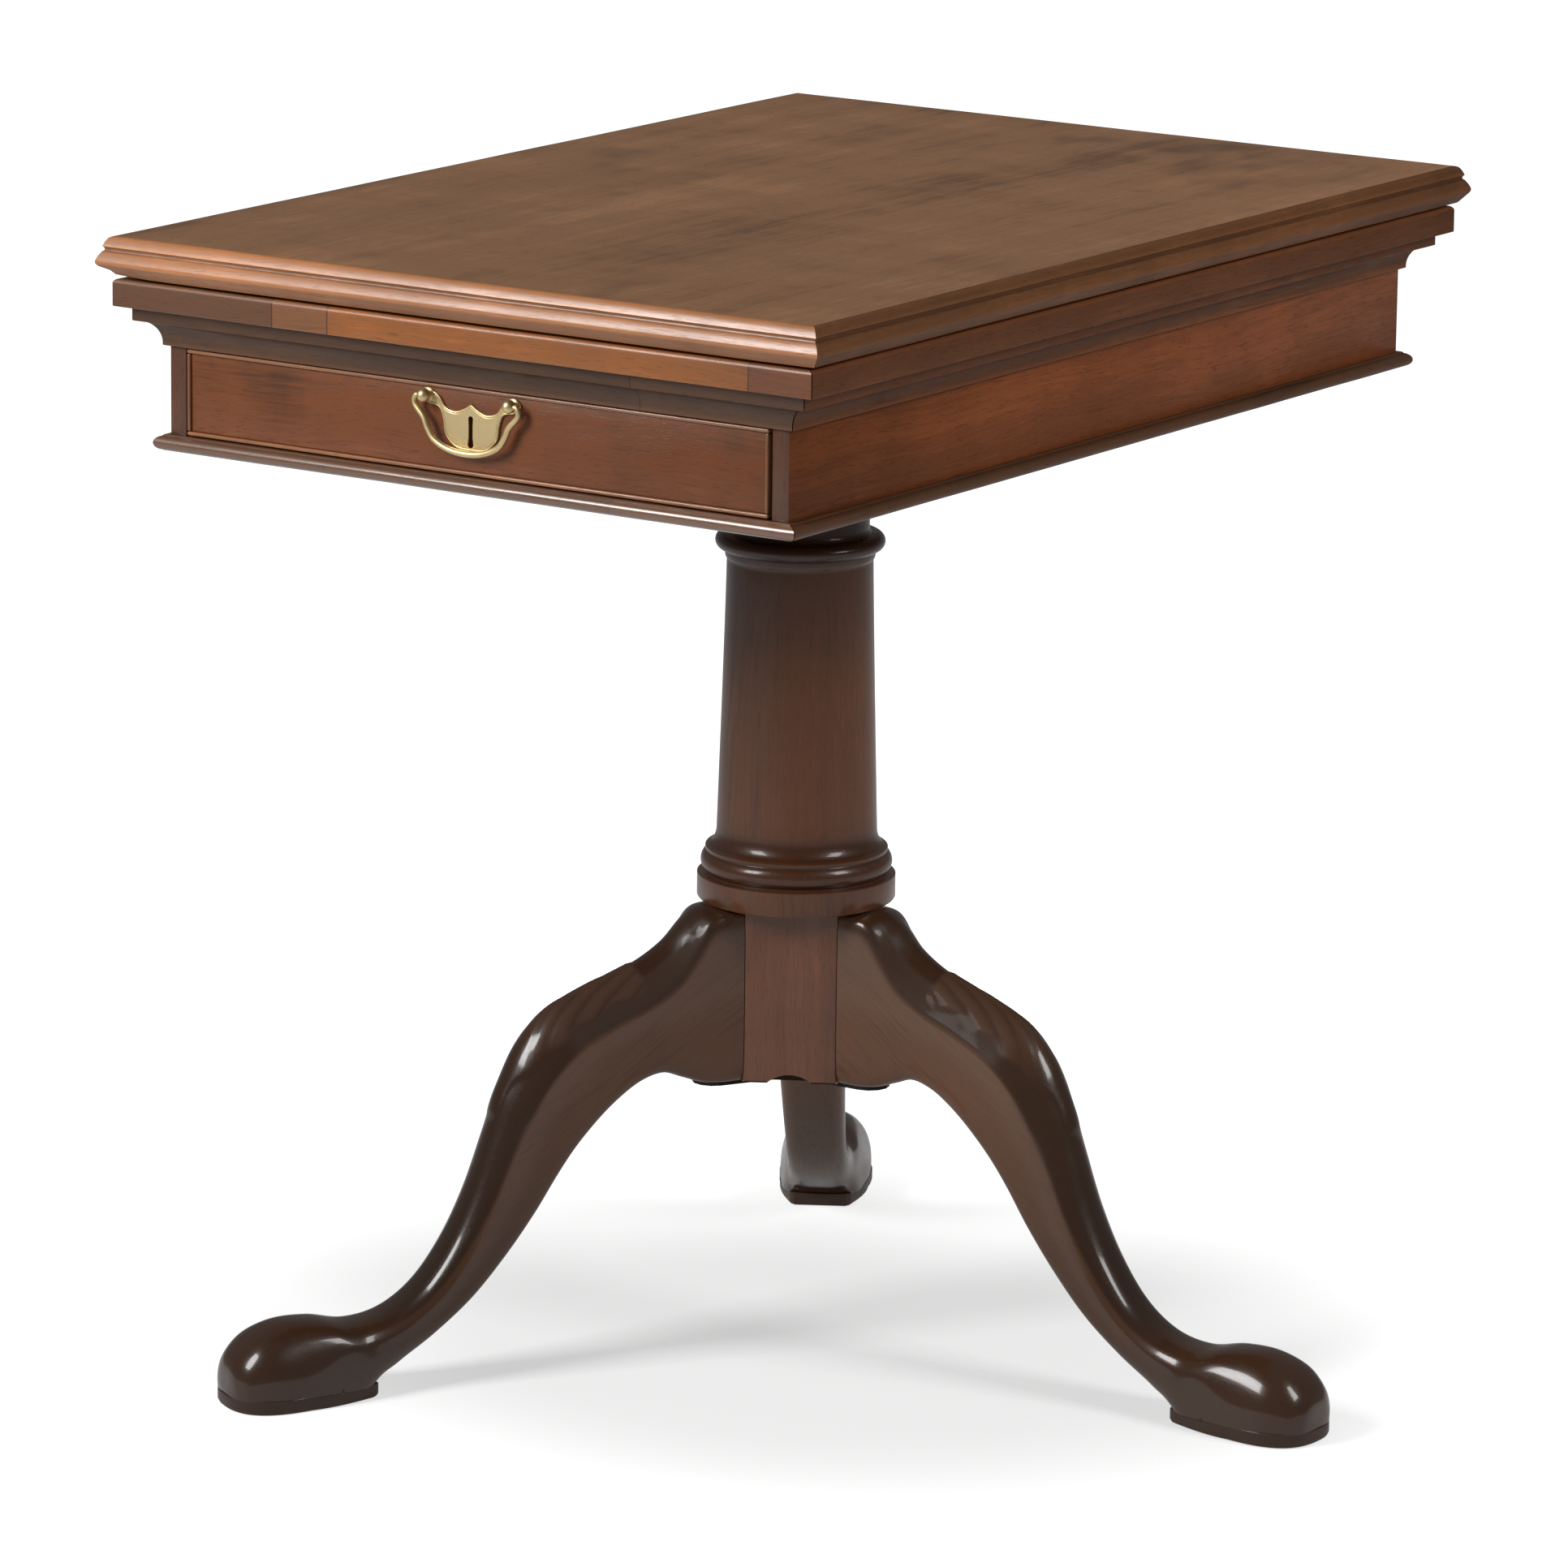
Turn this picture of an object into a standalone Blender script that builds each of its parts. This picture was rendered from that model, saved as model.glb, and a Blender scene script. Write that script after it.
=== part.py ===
"""Tripod reading table: a tilting top over an end drawer, on a turned column with three cabriole legs.

Metres, +Z up. The drawer faces -Y, the reader sits at -X, and the three soles stand at z = 0.
Places are worked out from the column's axis. The frame empty then moves the whole table sideways,
so that the origin lies under the middle of its box.
"""

import math

import bmesh
import bpy
from mathutils import Matrix, Vector

# Clearances
SEAT = 0.0003  # between pieces that rest on or fit into one another
PLAY = 0.0008  # between pieces that move past one another
MITRE = 0.0002  # at each mitred end of a moulding
BORE_PLAY = 0.0002  # round a pin in its bore
INTO = 0.004  # how far a solid reaches into the one it is joined with
PAST = 0.005  # how far a cutter reaches past what it cuts

# Tilting top
TABLE_H = 0.730
TOP_W = 0.520
TOP_L = 0.752
TOP_T = 0.023
TOP_SIDE_OUT = 0.036  # beyond the box's long sides
TOP_END_OUT = 0.027  # beyond the box's ends
TOP_GAP = 0.0027  # shadow line between the top and the cornice
TOP_FILLET = 0.0018  # quirk round the flat of the top
TOP_FILLET_IN = 0.0006
TOP_OVOLO_W = 0.009
TOP_OVOLO_H = 0.0095
TOP_COVE_W = 0.011
TOP_COVE_H = 0.0045
TOP_NOSE_H = 0.0048
TOP_NOSE_IN = 0.0009
TILT_MAX = math.radians(45)

# Box under the top
BOARD_T = 0.012
FLOOR_T = 0.0098
DUST_T = 0.010
RAIL_T = 0.030
FRIEZE_H = 0.054
BAND_H = 0.0168
FILLET_H = 0.0087
CAVETTO_H = 0.0148
CORNICE_SIDE = 0.028
CORNICE_END = 0.020
CORNICE_BEAD_H = 0.0016
BASE_H = 0.0102
BASE_SIDE = 0.0085
BASE_END = 0.0065

# Hinges of the top
HINGE_L = 0.060
HINGE_INSET = 0.136  # from the top's end to the middle of each hinge
BARREL_R = 0.0026
PIN_R = 0.0012
LEAF_W = 0.024
LEAF_PLAY = 0.00025

# Easel strut and its racks
STRUT_T = 0.010
STRUT_W = 0.240
STRUT_BAR = 0.018
STRUT_PIN_R = 0.003
STRUT_PIN_L = 0.0115
BRACKET_T = 0.010
BRACKET_W = 0.020
BRACKET_WALL = 0.003
FOOT_CLEAR = 0.0085
RACK_W = 0.018
RACK_LAND = 0.004  # flat before the first notch
RACK_SLOPE = 0.012  # run down to the rack's plain end
TOOTH_H = 0.007
ARM_EASE = 0.0008
NOTCH_TILTS = [math.radians(a) for a in (15, 21, 27, 33, 39, 45)]

# Drawer
DRAWER_L = 0.430
DRAWER_GAP = 0.0016
DRAWER_FRONT_T = 0.016
DRAWER_SIDE_T = 0.008
DRAWER_BOTTOM_T = 0.005
DRAWER_BOTTOM_UP = 0.004
DRAWER_BACK_DROP = 0.010
BEAD_T = 0.0024
BEAD_OUT = 0.0016
STOP_SIZE = (0.024, 0.012, 0.008)
STOP_X = 0.150

# Drawer lock
LOCK_W = 0.048
LOCK_H = 0.038
LOCK_T = 0.009
BOLT_W = 0.018
BOLT_T = 0.004
BOLT_H = 0.022
BOLT_SHOT = 0.008
BOLT_EASE = 0.0004
KEYHOLE_W = 0.0036
KEYHOLE_H = 0.0175
KEYHOLE_DROP = 0.0115  # below the handle's posts

# Drawer handle
PLATE_T = 0.0016
POST_X = 0.0308
POST_DROP = 0.0068  # below the drawer front's upper edge
POST_OUT = 0.0064  # pivot in front of the drawer front
POST_BALL_R = 0.0042
POST_NECK_R = 0.0028
POST_SHANK_R = 0.0020
POST_FLANGE = 0.0012
NUT_R = 0.0055
NUT_T = 0.0035
SHANK_PAST = 0.0015  # beyond the nut
BAIL_R = 0.0020
BAIL_PIN_R = 0.0016
BAIL_DROP = 0.0318
BAIL_HALF_W = 0.0372

# Column
CAP_R = 0.058
CAP_H = 0.011
ECHINUS_H = 0.013
NECK_R = 0.0432
NECK_EASE = 0.002  # hollow where the neck and the shaft meet their rings
RING_DROP = 0.0577  # below the cap
RING_R = 0.0532
RING_BEAD = 0.0052
SHAFT_TOP_R = 0.0458
SHAFT_LOW_R = 0.0509
SHAFT_FOOT = 0.049  # shaft's lower end above the legs
TORUS_R = 0.0623
TORUS_BEAD = 0.0078
TORUS_UP = 0.0265  # above the legs
ANNULET_R = 0.0631
ANNULET_BEAD = 0.0029
ANNULET_UP = 0.0143  # above the legs
COLLAR_R = 0.0628
COLLAR_H = 0.0104
COLLAR_EASE = 0.0012
TENON_R = 0.024
BEARER_W = 0.200
BEARER_T = 0.0255
BEARER_BEVEL = 0.012
TURN_STEPS = 40

# Block and legs
BLOCK_FLAT = 0.042  # axis to each flat between the legs
BLOCK_H = 0.1127
LEG_H = 0.288
LEG_T = 0.044
LEG_SHOULDER = 0.0035  # level part outside the collar
LEG_SHOULDER_W = 0.0115  # round at its outer end
LEG_SHOULDER_H = 0.007
LEG_ANGLES = [math.radians(a) for a in (0, 120, 240)]
TONGUE_D = 0.018
TONGUE_W = 0.016  # at the block's face
TONGUE_FLARE = 0.003
TONGUE_INSET_LOW = 0.0027
TONGUE_INSET_HIGH = 0.020
FOOT_H = 0.0515
SOLE_T = 0.009
SOLE_SINK = 0.001  # how far the foot is let into its sole
SOLE_TOE_R = 0.390
SOLE_L = 0.0965
SOLE_W = 0.060
SOLE_EGG_RATIO = 0.22
SOLE_EASE = 0.002
SPIDER_T = 0.0025
SPIDER_ARM_W = 0.026
SPIDER_R = 0.070
RING_POINTS = 16
SOLE_POINTS = 28

# Sections of a leg from its shoulder to its ankle: reach and height of the upper edge, reach and height of
# the lower edge, breadth, squareness above and below. Reaches are ratios of the way from block to toe,
# heights of the leg's height above and of the block's own height below, breadths of the leg's thickness.
LEG_SECTION_RATIO = [
    (0.1354, 0.9271, 0.1107, 1.0297, 1.000, 3.0, 8.0),
    (0.1979, 0.8837, 0.1514, 1.0553, 1.000, 3.0, 7.0),
    (0.2909, 0.8420, 0.1950, 1.0394, 1.045, 3.2, 6.0),
    (0.3665, 0.7969, 0.2357, 0.9954, 1.114, 3.4, 6.0),
    (0.4188, 0.7292, 0.2793, 0.9270, 1.136, 3.2, 5.5),
    (0.4566, 0.6389, 0.3243, 0.8300, 1.091, 3.0, 5.0),
    (0.4885, 0.5382, 0.3607, 0.7273, 1.000, 2.8, 4.6),
    (0.5263, 0.4184, 0.4043, 0.5961, 0.955, 2.6, 4.2),
    (0.5699, 0.3125, 0.4595, 0.4535, 0.918, 2.5, 3.8),
    (0.6251, 0.2257, 0.5249, 0.3109, 0.891, 2.4, 3.4),
    (0.6890, 0.1753, 0.5990, 0.1911, 0.891, 2.4, 3.0),
    (0.7588, 0.1615, 0.6687, 0.1055, 0.973, 2.4, 2.7),
]

# Sections of a foot from its heel to its toe, as ratios of the sole's length, the foot's height and the
# sole's width: reach and height of the upper edge, reach of the lower edge, breadth, and squareness
FOOT_SECTION_RATIO = [
    (0.3886, 0.9903, 0.0207, 0.817, 2.4),
    (0.6166, 1.0000, 0.4301, 0.947, 2.4),
    (0.7927, 0.8544, 0.7202, 0.867, 2.4),
    (0.9119, 0.6408, 0.8912, 0.650, 2.3),
    (0.9741, 0.3689, 0.9689, 0.300, 2.2),
]

# Outline of the handle's plate, right half from the lower middle up, as ratios of the posts' place and of the
# bail's drop
PLATE_OUTLINE_RATIO = [
    (0, -0.969), (0.357, -0.931), (0.601, -0.720), (0.666, -0.420), (0.763, -0.220),
    (1.032, -0.157), (1.162, 0), (1.032, 0.113), (0.773, 0.016), (0.601, -0.189),
    (0.373, -0.252), (0.162, -0.182), (0, -0.079),
]

# Levels and places that follow from the sizes above
BOX_W = TOP_W - 2 * TOP_SIDE_OUT
BOX_L = TOP_L - 2 * TOP_END_OUT
TOP_Z0 = TABLE_H - TOP_T
BAND_Z1 = TOP_Z0 - TOP_GAP
BAND_Z0 = BAND_Z1 - BAND_H
FILLET_Z0 = BAND_Z0 - FILLET_H
FRIEZE_Z1 = FILLET_Z0 - CAVETTO_H
FRIEZE_Z0 = FRIEZE_Z1 - FRIEZE_H
BOX_Z0 = FRIEZE_Z0 - BASE_H
FLOOR_Z1 = BOX_Z0 + FLOOR_T
DUST_Z1 = FRIEZE_Z1 + SEAT + DUST_T
INNER_X = BOX_W / 2 - BOARD_T
FRONT_Y = -BOX_L / 2
BACK_Y = BOX_L / 2 - BOARD_T
RAIL_Y = FRONT_Y + RAIL_T

HINGE_X = -(BOX_W / 2 + CORNICE_SIDE + BARREL_R + PLAY)
HINGE_Y = TOP_L / 2 - HINGE_INSET
HINGE_Z = BAND_Z1 + TOP_GAP / 2
LEAF_T = (TOP_GAP - 3 * LEAF_PLAY) / 2

# The strut is as long as its pivot is far from the hinge, plus what keeps its foot level at both ends
STRUT_Z = TOP_Z0 - PLAY - STRUT_T / 2
STRUT_SINK = HINGE_Z - STRUT_Z
STRUT_EXTRA = STRUT_SINK * (1 - math.cos(TILT_MAX)) / math.sin(TILT_MAX)
FOOT_REST_X = INNER_X - FOOT_CLEAR - STRUT_T / 2
PIVOT_REACH = (FOOT_REST_X - HINGE_X - STRUT_EXTRA) / 2
STRUT_L = PIVOT_REACH + STRUT_EXTRA
PIVOT_X = HINGE_X + PIVOT_REACH
RACK_Z1 = HINGE_Z - math.hypot(STRUT_EXTRA, STRUT_SINK) - STRUT_T / 2 - PLAY
RACK_Y = (STRUT_W - RACK_W) / 2 - STRUT_BAR / 2

DRAWER_X = INNER_X - DRAWER_GAP
DRAWER_Z0 = FLOOR_Z1 + SEAT
DRAWER_Z1 = FRIEZE_Z1 - PLAY
DRAWER_FRONT_Z0 = FLOOR_Z1 + PLAY + SEAT
DRAWER_Y0 = FRONT_Y + DRAWER_FRONT_T + SEAT
DRAWER_Y1 = DRAWER_Y0 + DRAWER_L
POST_Z = DRAWER_Z1 - POST_DROP
KEYHOLE_Z1 = POST_Z - KEYHOLE_DROP
BAIL_Y = FRONT_Y - POST_OUT
LOCK_Z1 = DRAWER_Z1 - BEAD_T - SEAT
BOLT_Y = DRAWER_Y0 + LOCK_T / 2
PLATE_Y = FRONT_Y - SEAT - PLATE_T / 2

BEARER_Z0 = BOX_Z0 - SEAT - BEARER_T
CAP_Z1 = BEARER_Z0 - SEAT
RING_Z = CAP_Z1 - RING_DROP
COLLAR_Z0 = LEG_H
COLLAR_Z1 = COLLAR_Z0 + COLLAR_H
ANNULET_Z = COLLAR_Z0 + ANNULET_UP
TORUS_Z = COLLAR_Z0 + TORUS_UP
SHAFT_LOW_Z = COLLAR_Z0 + SHAFT_FOOT
BLOCK_Z0 = COLLAR_Z0 - BLOCK_H
TONGUE_Z0 = BLOCK_Z0 + TONGUE_INSET_LOW
TONGUE_Z1 = COLLAR_Z0 - TONGUE_INSET_HIGH
SOLE_HEEL_R = SOLE_TOE_R - SOLE_L
LEG_FACE = 2 * BLOCK_FLAT - LEG_T * math.cos(math.pi / 6)
FRAME_X = (SOLE_TOE_R - TOP_W / 2) / 2

MATERIALS = {
    "mahogany_top": ((0.19, 0.105, 0.058), 0.38, 0.0),
    "mahogany_frieze": ((0.165, 0.06, 0.026), 0.36, 0.0),
    "mahogany_moulding": ((0.14, 0.07, 0.038), 0.36, 0.0),
    "mahogany_column": ((0.075, 0.031, 0.019), 0.3, 0.0),
    "mahogany_leg": ((0.05, 0.026, 0.018), 0.28, 0.0),
    "drawer_lining": ((0.36, 0.23, 0.12), 0.6, 0.0),
    "brass": ((0.72, 0.56, 0.27), 0.34, 1.0),
    "iron": ((0.05, 0.047, 0.044), 0.6, 1.0),
}


def clear_scene():
    """Empties the scene of what was in it."""
    for obj in list(bpy.data.objects):
        bpy.data.objects.remove(obj)


def new_collection(name):
    made = bpy.data.collections.new(name)
    bpy.context.scene.collection.children.link(made)
    return made


def new_material(name):
    colour, roughness, metallic = MATERIALS[name]
    made = bpy.data.materials.new(name)
    made.use_nodes = True
    shader = made.node_tree.nodes["Principled BSDF"]
    shader.inputs["Base Color"].default_value = (*colour, 1.0)
    shader.inputs["Roughness"].default_value = roughness
    shader.inputs["Metallic"].default_value = metallic
    return made


clear_scene()
PARTS = new_collection("reading_table")
CUTTERS = new_collection("reading_table_cutters")
FINISHES = {name: new_material(name) for name in MATERIALS}
CARRIERS = {}


def carrier(name, place, on=None):
    """An empty that carries pieces: the table's frame, or a joint's axis."""
    empty = bpy.data.objects.new(name, None)
    empty.empty_display_size = 0.05
    PARTS.objects.link(empty)
    place = Vector(place)
    if on:
        parent, parent_place = CARRIERS[on]
        empty.parent = parent
        empty.location = place - parent_place
    else:
        empty.location = place - Vector((FRAME_X, 0, 0))
    CARRIERS[name] = (empty, place)


def add(name, data, place, finish=None, on="frame", turn=(0, 0, 0)):
    """An object whose own origin is at this place. A piece with no finish is a cutter."""
    obj = bpy.data.objects.new(name, data)
    (PARTS if finish else CUTTERS).objects.link(obj)
    parent, parent_place = CARRIERS[on]
    obj.parent = parent
    obj.location = Vector(place) - parent_place
    obj.rotation_euler = turn
    if finish:
        data.materials.append(FINISHES[finish])
    else:
        obj.hide_render = True
        obj.display_type = "WIRE"
    return obj


def mesh_from(form, name):
    mesh = bpy.data.meshes.new(name)
    form.to_mesh(mesh)
    form.free()
    return mesh


def grow(form, face, inner):
    """A new face drawn out from this one. An inner one is left open where it was, and the first one stays."""
    grown = bmesh.ops.extrude_face_region(form, geom=[face])["geom"]
    made = next(part for part in grown if isinstance(part, bmesh.types.BMFace))
    if inner and face.is_valid:
        form.faces.remove(face)
    return made


def board(name, x, y, z, finish=None, on="frame", ease=0.0):
    """A rectangular piece between pairs of limits, with its arrises eased."""
    lows = Vector([min(pair) for pair in (x, y, z)])
    highs = Vector([max(pair) for pair in (x, y, z)])
    form = bmesh.new()
    bmesh.ops.create_cube(form, size=1.0, matrix=Matrix.Diagonal((*(highs - lows), 1.0)))
    obj = add(name, mesh_from(form, name), (lows + highs) / 2, finish, on)
    if ease:
        bevel = obj.modifiers.new("eased_edges", "BEVEL")
        bevel.width = ease
        bevel.segments = 1
    return obj


def rod(name, start, end, radius, finish=None, on="frame", sides=16):
    """A round bar between two points."""
    start, end = Vector(start), Vector(end)
    form = bmesh.new()
    bmesh.ops.create_cone(
        form, cap_ends=True, segments=sides, radius1=radius, radius2=radius, depth=(end - start).length
    )
    turn = Vector((0, 0, 1)).rotation_difference(end - start).to_matrix()
    bmesh.ops.rotate(form, verts=form.verts, matrix=turn)
    return add(name, mesh_from(form, name), (start + end) / 2, finish, on)


def boolean(obj, other, operation):
    step = obj.modifiers.new(f"{operation.lower()}_{other.name}", "BOOLEAN")
    step.operation = operation
    step.object = other
    step.solver = "EXACT"


def turned(name, profile, place, finish=None, on="frame", turn=(0, 0, 0), steps=TURN_STEPS):
    """A piece turned on a lathe: its (radius, height) profile runs from the top down."""
    mesh = bpy.data.meshes.new(name)
    edges = [(i, i + 1) for i in range(len(profile) - 1)]
    mesh.from_pydata([(r, 0.0, z) for r, z in profile], edges, [])
    obj = add(name, mesh, place, finish, on, turn)
    screw = obj.modifiers.new("turning", "SCREW")
    screw.axis = "Z"
    screw.steps = steps
    screw.render_steps = steps
    screw.merge_threshold = 0.00001
    screw.use_merge_vertices = True
    return obj


def plate(name, loops, thickness, place, finish=None, on="frame", turn=(0, 0, 0)):
    """A flat outline with any holes in it, cut from sheet of this thickness."""
    curve = bpy.data.curves.new(name, "CURVE")
    curve.dimensions = "2D"
    curve.fill_mode = "BOTH"
    curve.extrude = thickness / 2
    for loop in loops:
        spline = curve.splines.new("POLY")
        spline.points.add(len(loop) - 1)
        for point, (x, y) in zip(spline.points, loop):
            point.co = (x, y, 0.0, 1.0)
        spline.use_cyclic_u = True
    return add(name, curve, place, finish, on, turn)


def as_mesh(obj):
    """The same piece as a mesh with its modifiers applied and its loose caps welded."""
    bpy.context.view_layer.update()
    graph = bpy.context.evaluated_depsgraph_get()
    mesh = bpy.data.meshes.new_from_object(obj.evaluated_get(graph))
    form = bmesh.new()
    form.from_mesh(mesh)
    bmesh.ops.remove_doubles(form, verts=form.verts, dist=0.000001)
    form.to_mesh(mesh)
    form.free()
    made = bpy.data.objects.new(obj.name, mesh)
    for home in obj.users_collection:
        home.objects.link(made)
    made.parent = obj.parent
    made.location = obj.location
    made.rotation_euler = obj.rotation_euler
    made.hide_render = obj.hide_render
    made.display_type = obj.display_type
    name = obj.name
    bpy.data.objects.remove(obj)
    made.name = name
    return made


def arc(centre, radius, start, end, count):
    """Points of (across, up) on an arc, with its angles in degrees."""
    angles = [math.radians(start + (end - start) * i / (count - 1)) for i in range(count)]
    return [(centre[0] + radius * math.cos(a), centre[1] + radius * math.sin(a)) for a in angles]


def circle(centre, radius, count=16):
    return arc(centre, radius, 0, 360 * (count - 1) / count, count)


def spline_value(values, at):
    """A smooth curve through evenly numbered values, read at a fractional number."""
    i = min(int(at), len(values) - 2)
    t = at - i
    before, here, after = values[max(i - 1, 0)], values[i], values[i + 1]
    later = values[min(i + 2, len(values) - 1)]
    slope_here, slope_after = (after - before) / 2, (later - here) / 2
    cubic = 2 * (here - after) + slope_here + slope_after
    square = 3 * (after - here) - 2 * slope_here - slope_after
    return ((cubic * t + square) * t + slope_here) * t + here


# Column and legs


def column_profile():
    """Outline of the pillar above its block, from the tenon in the bearer down to the collar."""
    cap_low = CAP_Z1 - CAP_H
    neck_top = cap_low - ECHINUS_H
    ring_top = RING_Z + RING_BEAD
    shaft_top = RING_Z - RING_BEAD - 2 * NECK_EASE
    ring_x = RING_R - RING_BEAD
    torus_x = TORUS_R - TORUS_BEAD
    cove_r = SHAFT_LOW_Z - TORUS_Z - TORUS_BEAD * 0.9
    points = [(0, BOX_Z0 - PLAY), (TENON_R, BOX_Z0 - PLAY), (TENON_R, CAP_Z1)]
    points += [(CAP_R, CAP_Z1), (CAP_R, cap_low)]
    points += arc((CAP_R - ECHINUS_H, cap_low - NECK_EASE / 2), ECHINUS_H * 0.9, 0, -78, 5)
    points += [(NECK_R + NECK_EASE, neck_top - NECK_EASE), (NECK_R, neck_top - 2.5 * NECK_EASE)]
    points += [(NECK_R, ring_top + 2 * NECK_EASE), (NECK_R + 0.75 * NECK_EASE, ring_top + 0.25 * NECK_EASE)]
    points += arc((ring_x, RING_Z), RING_BEAD, 75, -75, 7)
    points += [(SHAFT_TOP_R + 0.7 * NECK_EASE, shaft_top + 1.3 * NECK_EASE), (SHAFT_TOP_R, shaft_top)]
    for share in (0.25, 0.5, 0.75):
        radius = SHAFT_TOP_R + (SHAFT_LOW_R - SHAFT_TOP_R) * share
        points.append((radius, shaft_top + (SHAFT_LOW_Z - shaft_top) * share))
    points += arc((SHAFT_LOW_R + cove_r * 0.62, SHAFT_LOW_Z), cove_r * 0.62, 180, 245, 4)
    points += arc((torus_x, TORUS_Z), TORUS_BEAD, 72, -66, 8)
    points += arc((ANNULET_R - ANNULET_BEAD, ANNULET_Z), ANNULET_BEAD, 60, -60, 5)
    points += [(COLLAR_R - COLLAR_EASE, COLLAR_Z1 + COLLAR_EASE / 2), (COLLAR_R, COLLAR_Z1)]
    points += [(COLLAR_R, COLLAR_Z0), (0, COLLAR_Z0)]
    return points


def leg_direction(angle):
    """Unit vectors along a leg and across it."""
    return Vector((math.cos(angle), math.sin(angle))), Vector((-math.sin(angle), math.cos(angle)))


def block_outline():
    """Six-sided block: a face for each leg, and a flat between each two."""
    corners = []
    for angle in LEG_ANGLES:
        along, across = leg_direction(angle)
        corners += [along * LEG_FACE - across * LEG_T / 2, along * LEG_FACE + across * LEG_T / 2]
    return [(c.x, c.y) for c in corners]


def tongue_outline(play):
    """Dovetail in plan, on a leg that points along +X: narrow at the block's face, wider inside it."""
    half = TONGUE_W / 2 + play
    deep = LEG_FACE - TONGUE_D - play
    outside = LEG_FACE + INTO
    return [(outside, -half), (outside, half), (LEG_FACE, half), (deep, half + TONGUE_FLARE),
            (deep, -half - TONGUE_FLARE), (LEG_FACE, -half)]


def make_column():
    column = turned("column", column_profile(), (0, 0, 0), "mahogany_column")
    block_h = BLOCK_H + INTO
    block = as_mesh(plate("column_block", [block_outline()], block_h, (0, 0, BLOCK_Z0 + block_h / 2)))
    boolean(column, block, "UNION")
    slot_z0 = BLOCK_Z0 - PAST
    slot_z1 = TONGUE_Z1 + SEAT
    for number, angle in enumerate(LEG_ANGLES):
        slot = as_mesh(
            plate(f"dovetail_slot_{number}", [tongue_outline(SEAT)], slot_z1 - slot_z0,
                  (0, 0, (slot_z0 + slot_z1) / 2), turn=(0, 0, angle))
        )
        boolean(column, slot, "DIFFERENCE")


def leg_stations():
    """Sections from block to toe: upper (r, z), lower (r, z), half width, squareness above and below."""
    face = LEG_FACE + SEAT
    under = COLLAR_Z0 - SEAT
    reach = SOLE_TOE_R - LEG_FACE
    half = LEG_T / 2
    shoulder = COLLAR_R + LEG_SHOULDER
    stations = [
        ((face, under), (face, BLOCK_Z0), half, 8.0, 8.0),
        ((shoulder, under), (LEG_FACE + reach * 0.041, BLOCK_Z0), half, 5.0, 8.0),
        ((shoulder + LEG_SHOULDER_W, under - LEG_SHOULDER_H), (LEG_FACE + reach * 0.076, BLOCK_Z0 * 1.007),
         half, 3.4, 8.0),
    ]
    for high_r, high_z, low_r, low_z, breadth, above, below in LEG_SECTION_RATIO:
        upper = (LEG_FACE + reach * high_r, LEG_H * high_z)
        lower = (LEG_FACE + reach * low_r, BLOCK_Z0 * low_z)
        stations.append((upper, lower, half * breadth, above, below))
    for high_r, high_z, low_r, breadth, square in FOOT_SECTION_RATIO:
        upper = (SOLE_HEEL_R + SOLE_L * high_r, FOOT_H * high_z)
        lower = (SOLE_HEEL_R + SOLE_L * low_r, SOLE_T - SOLE_SINK)
        stations.append((upper, lower, SOLE_W / 2 * breadth, square, square))
    return stations


def leg_ring(stations, at):
    """Points round the leg at a fractional station, on a superellipse that is squarer below than above."""
    columns = zip(*[(*upper, *lower, *rest) for upper, lower, *rest in stations])
    upper_r, upper_z, lower_r, lower_z, half, square_up, square_down = [spline_value(c, at) for c in columns]
    upper, lower = Vector((upper_r, 0, upper_z)), Vector((lower_r, 0, lower_z))
    middle, reach = (upper + lower) / 2, (upper - lower) / 2
    ring = []
    for number in range(RING_POINTS):
        angle = 2 * math.pi * (number + 0.5) / RING_POINTS
        up, side = math.cos(angle), math.sin(angle)
        power = 2 / (square_up if up > 0 else square_down)
        up = math.copysign(abs(up) ** power, up)
        side = math.copysign(abs(side) ** power, side)
        ring.append(middle + reach * up + Vector((0, half * side, 0)))
    return ring


def leg_body():
    """The leg from the block's face to the toe, lofted through its stations."""
    stations = leg_stations()
    form = bmesh.new()
    rings = []
    for number in range(2 * len(stations) - 1):
        rings.append([form.verts.new(p) for p in leg_ring(stations, number / 2)])
    for near, far in zip(rings, rings[1:]):
        for i in range(RING_POINTS):
            j = (i + 1) % RING_POINTS
            form.faces.new((near[i], near[j], far[j], far[i]))
    form.faces.new(rings[0])
    form.faces.new(rings[-1])
    bmesh.ops.recalc_face_normals(form, faces=form.faces)
    return add("leg_body", mesh_from(form, "leg_body"), (0, 0, 0))


def sole():
    """Egg-shaped sole of the pad foot, wide at the toe and squarer at the heel, with its lower edge eased."""
    middle = (SOLE_HEEL_R + SOLE_TOE_R) / 2
    reach = (SOLE_TOE_R - SOLE_HEEL_R) / 2
    form = bmesh.new()
    points = []
    for number in range(SOLE_POINTS):
        angle = 2 * math.pi * number / SOLE_POINTS
        power = 0.8 if math.cos(angle) > 0 else 0.55
        along = math.copysign(abs(math.cos(angle)) ** power, math.cos(angle))
        across = math.copysign(abs(math.sin(angle)) ** power, math.sin(angle))
        points.append((reach * along, SOLE_W / 2 * across * (1 + SOLE_EGG_RATIO * along), SOLE_T))
    face = form.faces.new([form.verts.new(p) for p in points])
    for inner, down, shrink in ((False, SOLE_EASE - SOLE_T, 1.0), (True, -SOLE_EASE, 1 - SOLE_EASE / reach)):
        face = grow(form, face, inner)
        bmesh.ops.translate(form, verts=face.verts, vec=(0, 0, down))
        bmesh.ops.scale(form, verts=face.verts, vec=(shrink, shrink, 1))
    bmesh.ops.recalc_face_normals(form, faces=form.faces)
    return add("leg_sole", mesh_from(form, "leg_sole"), (middle, 0, 0))


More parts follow.
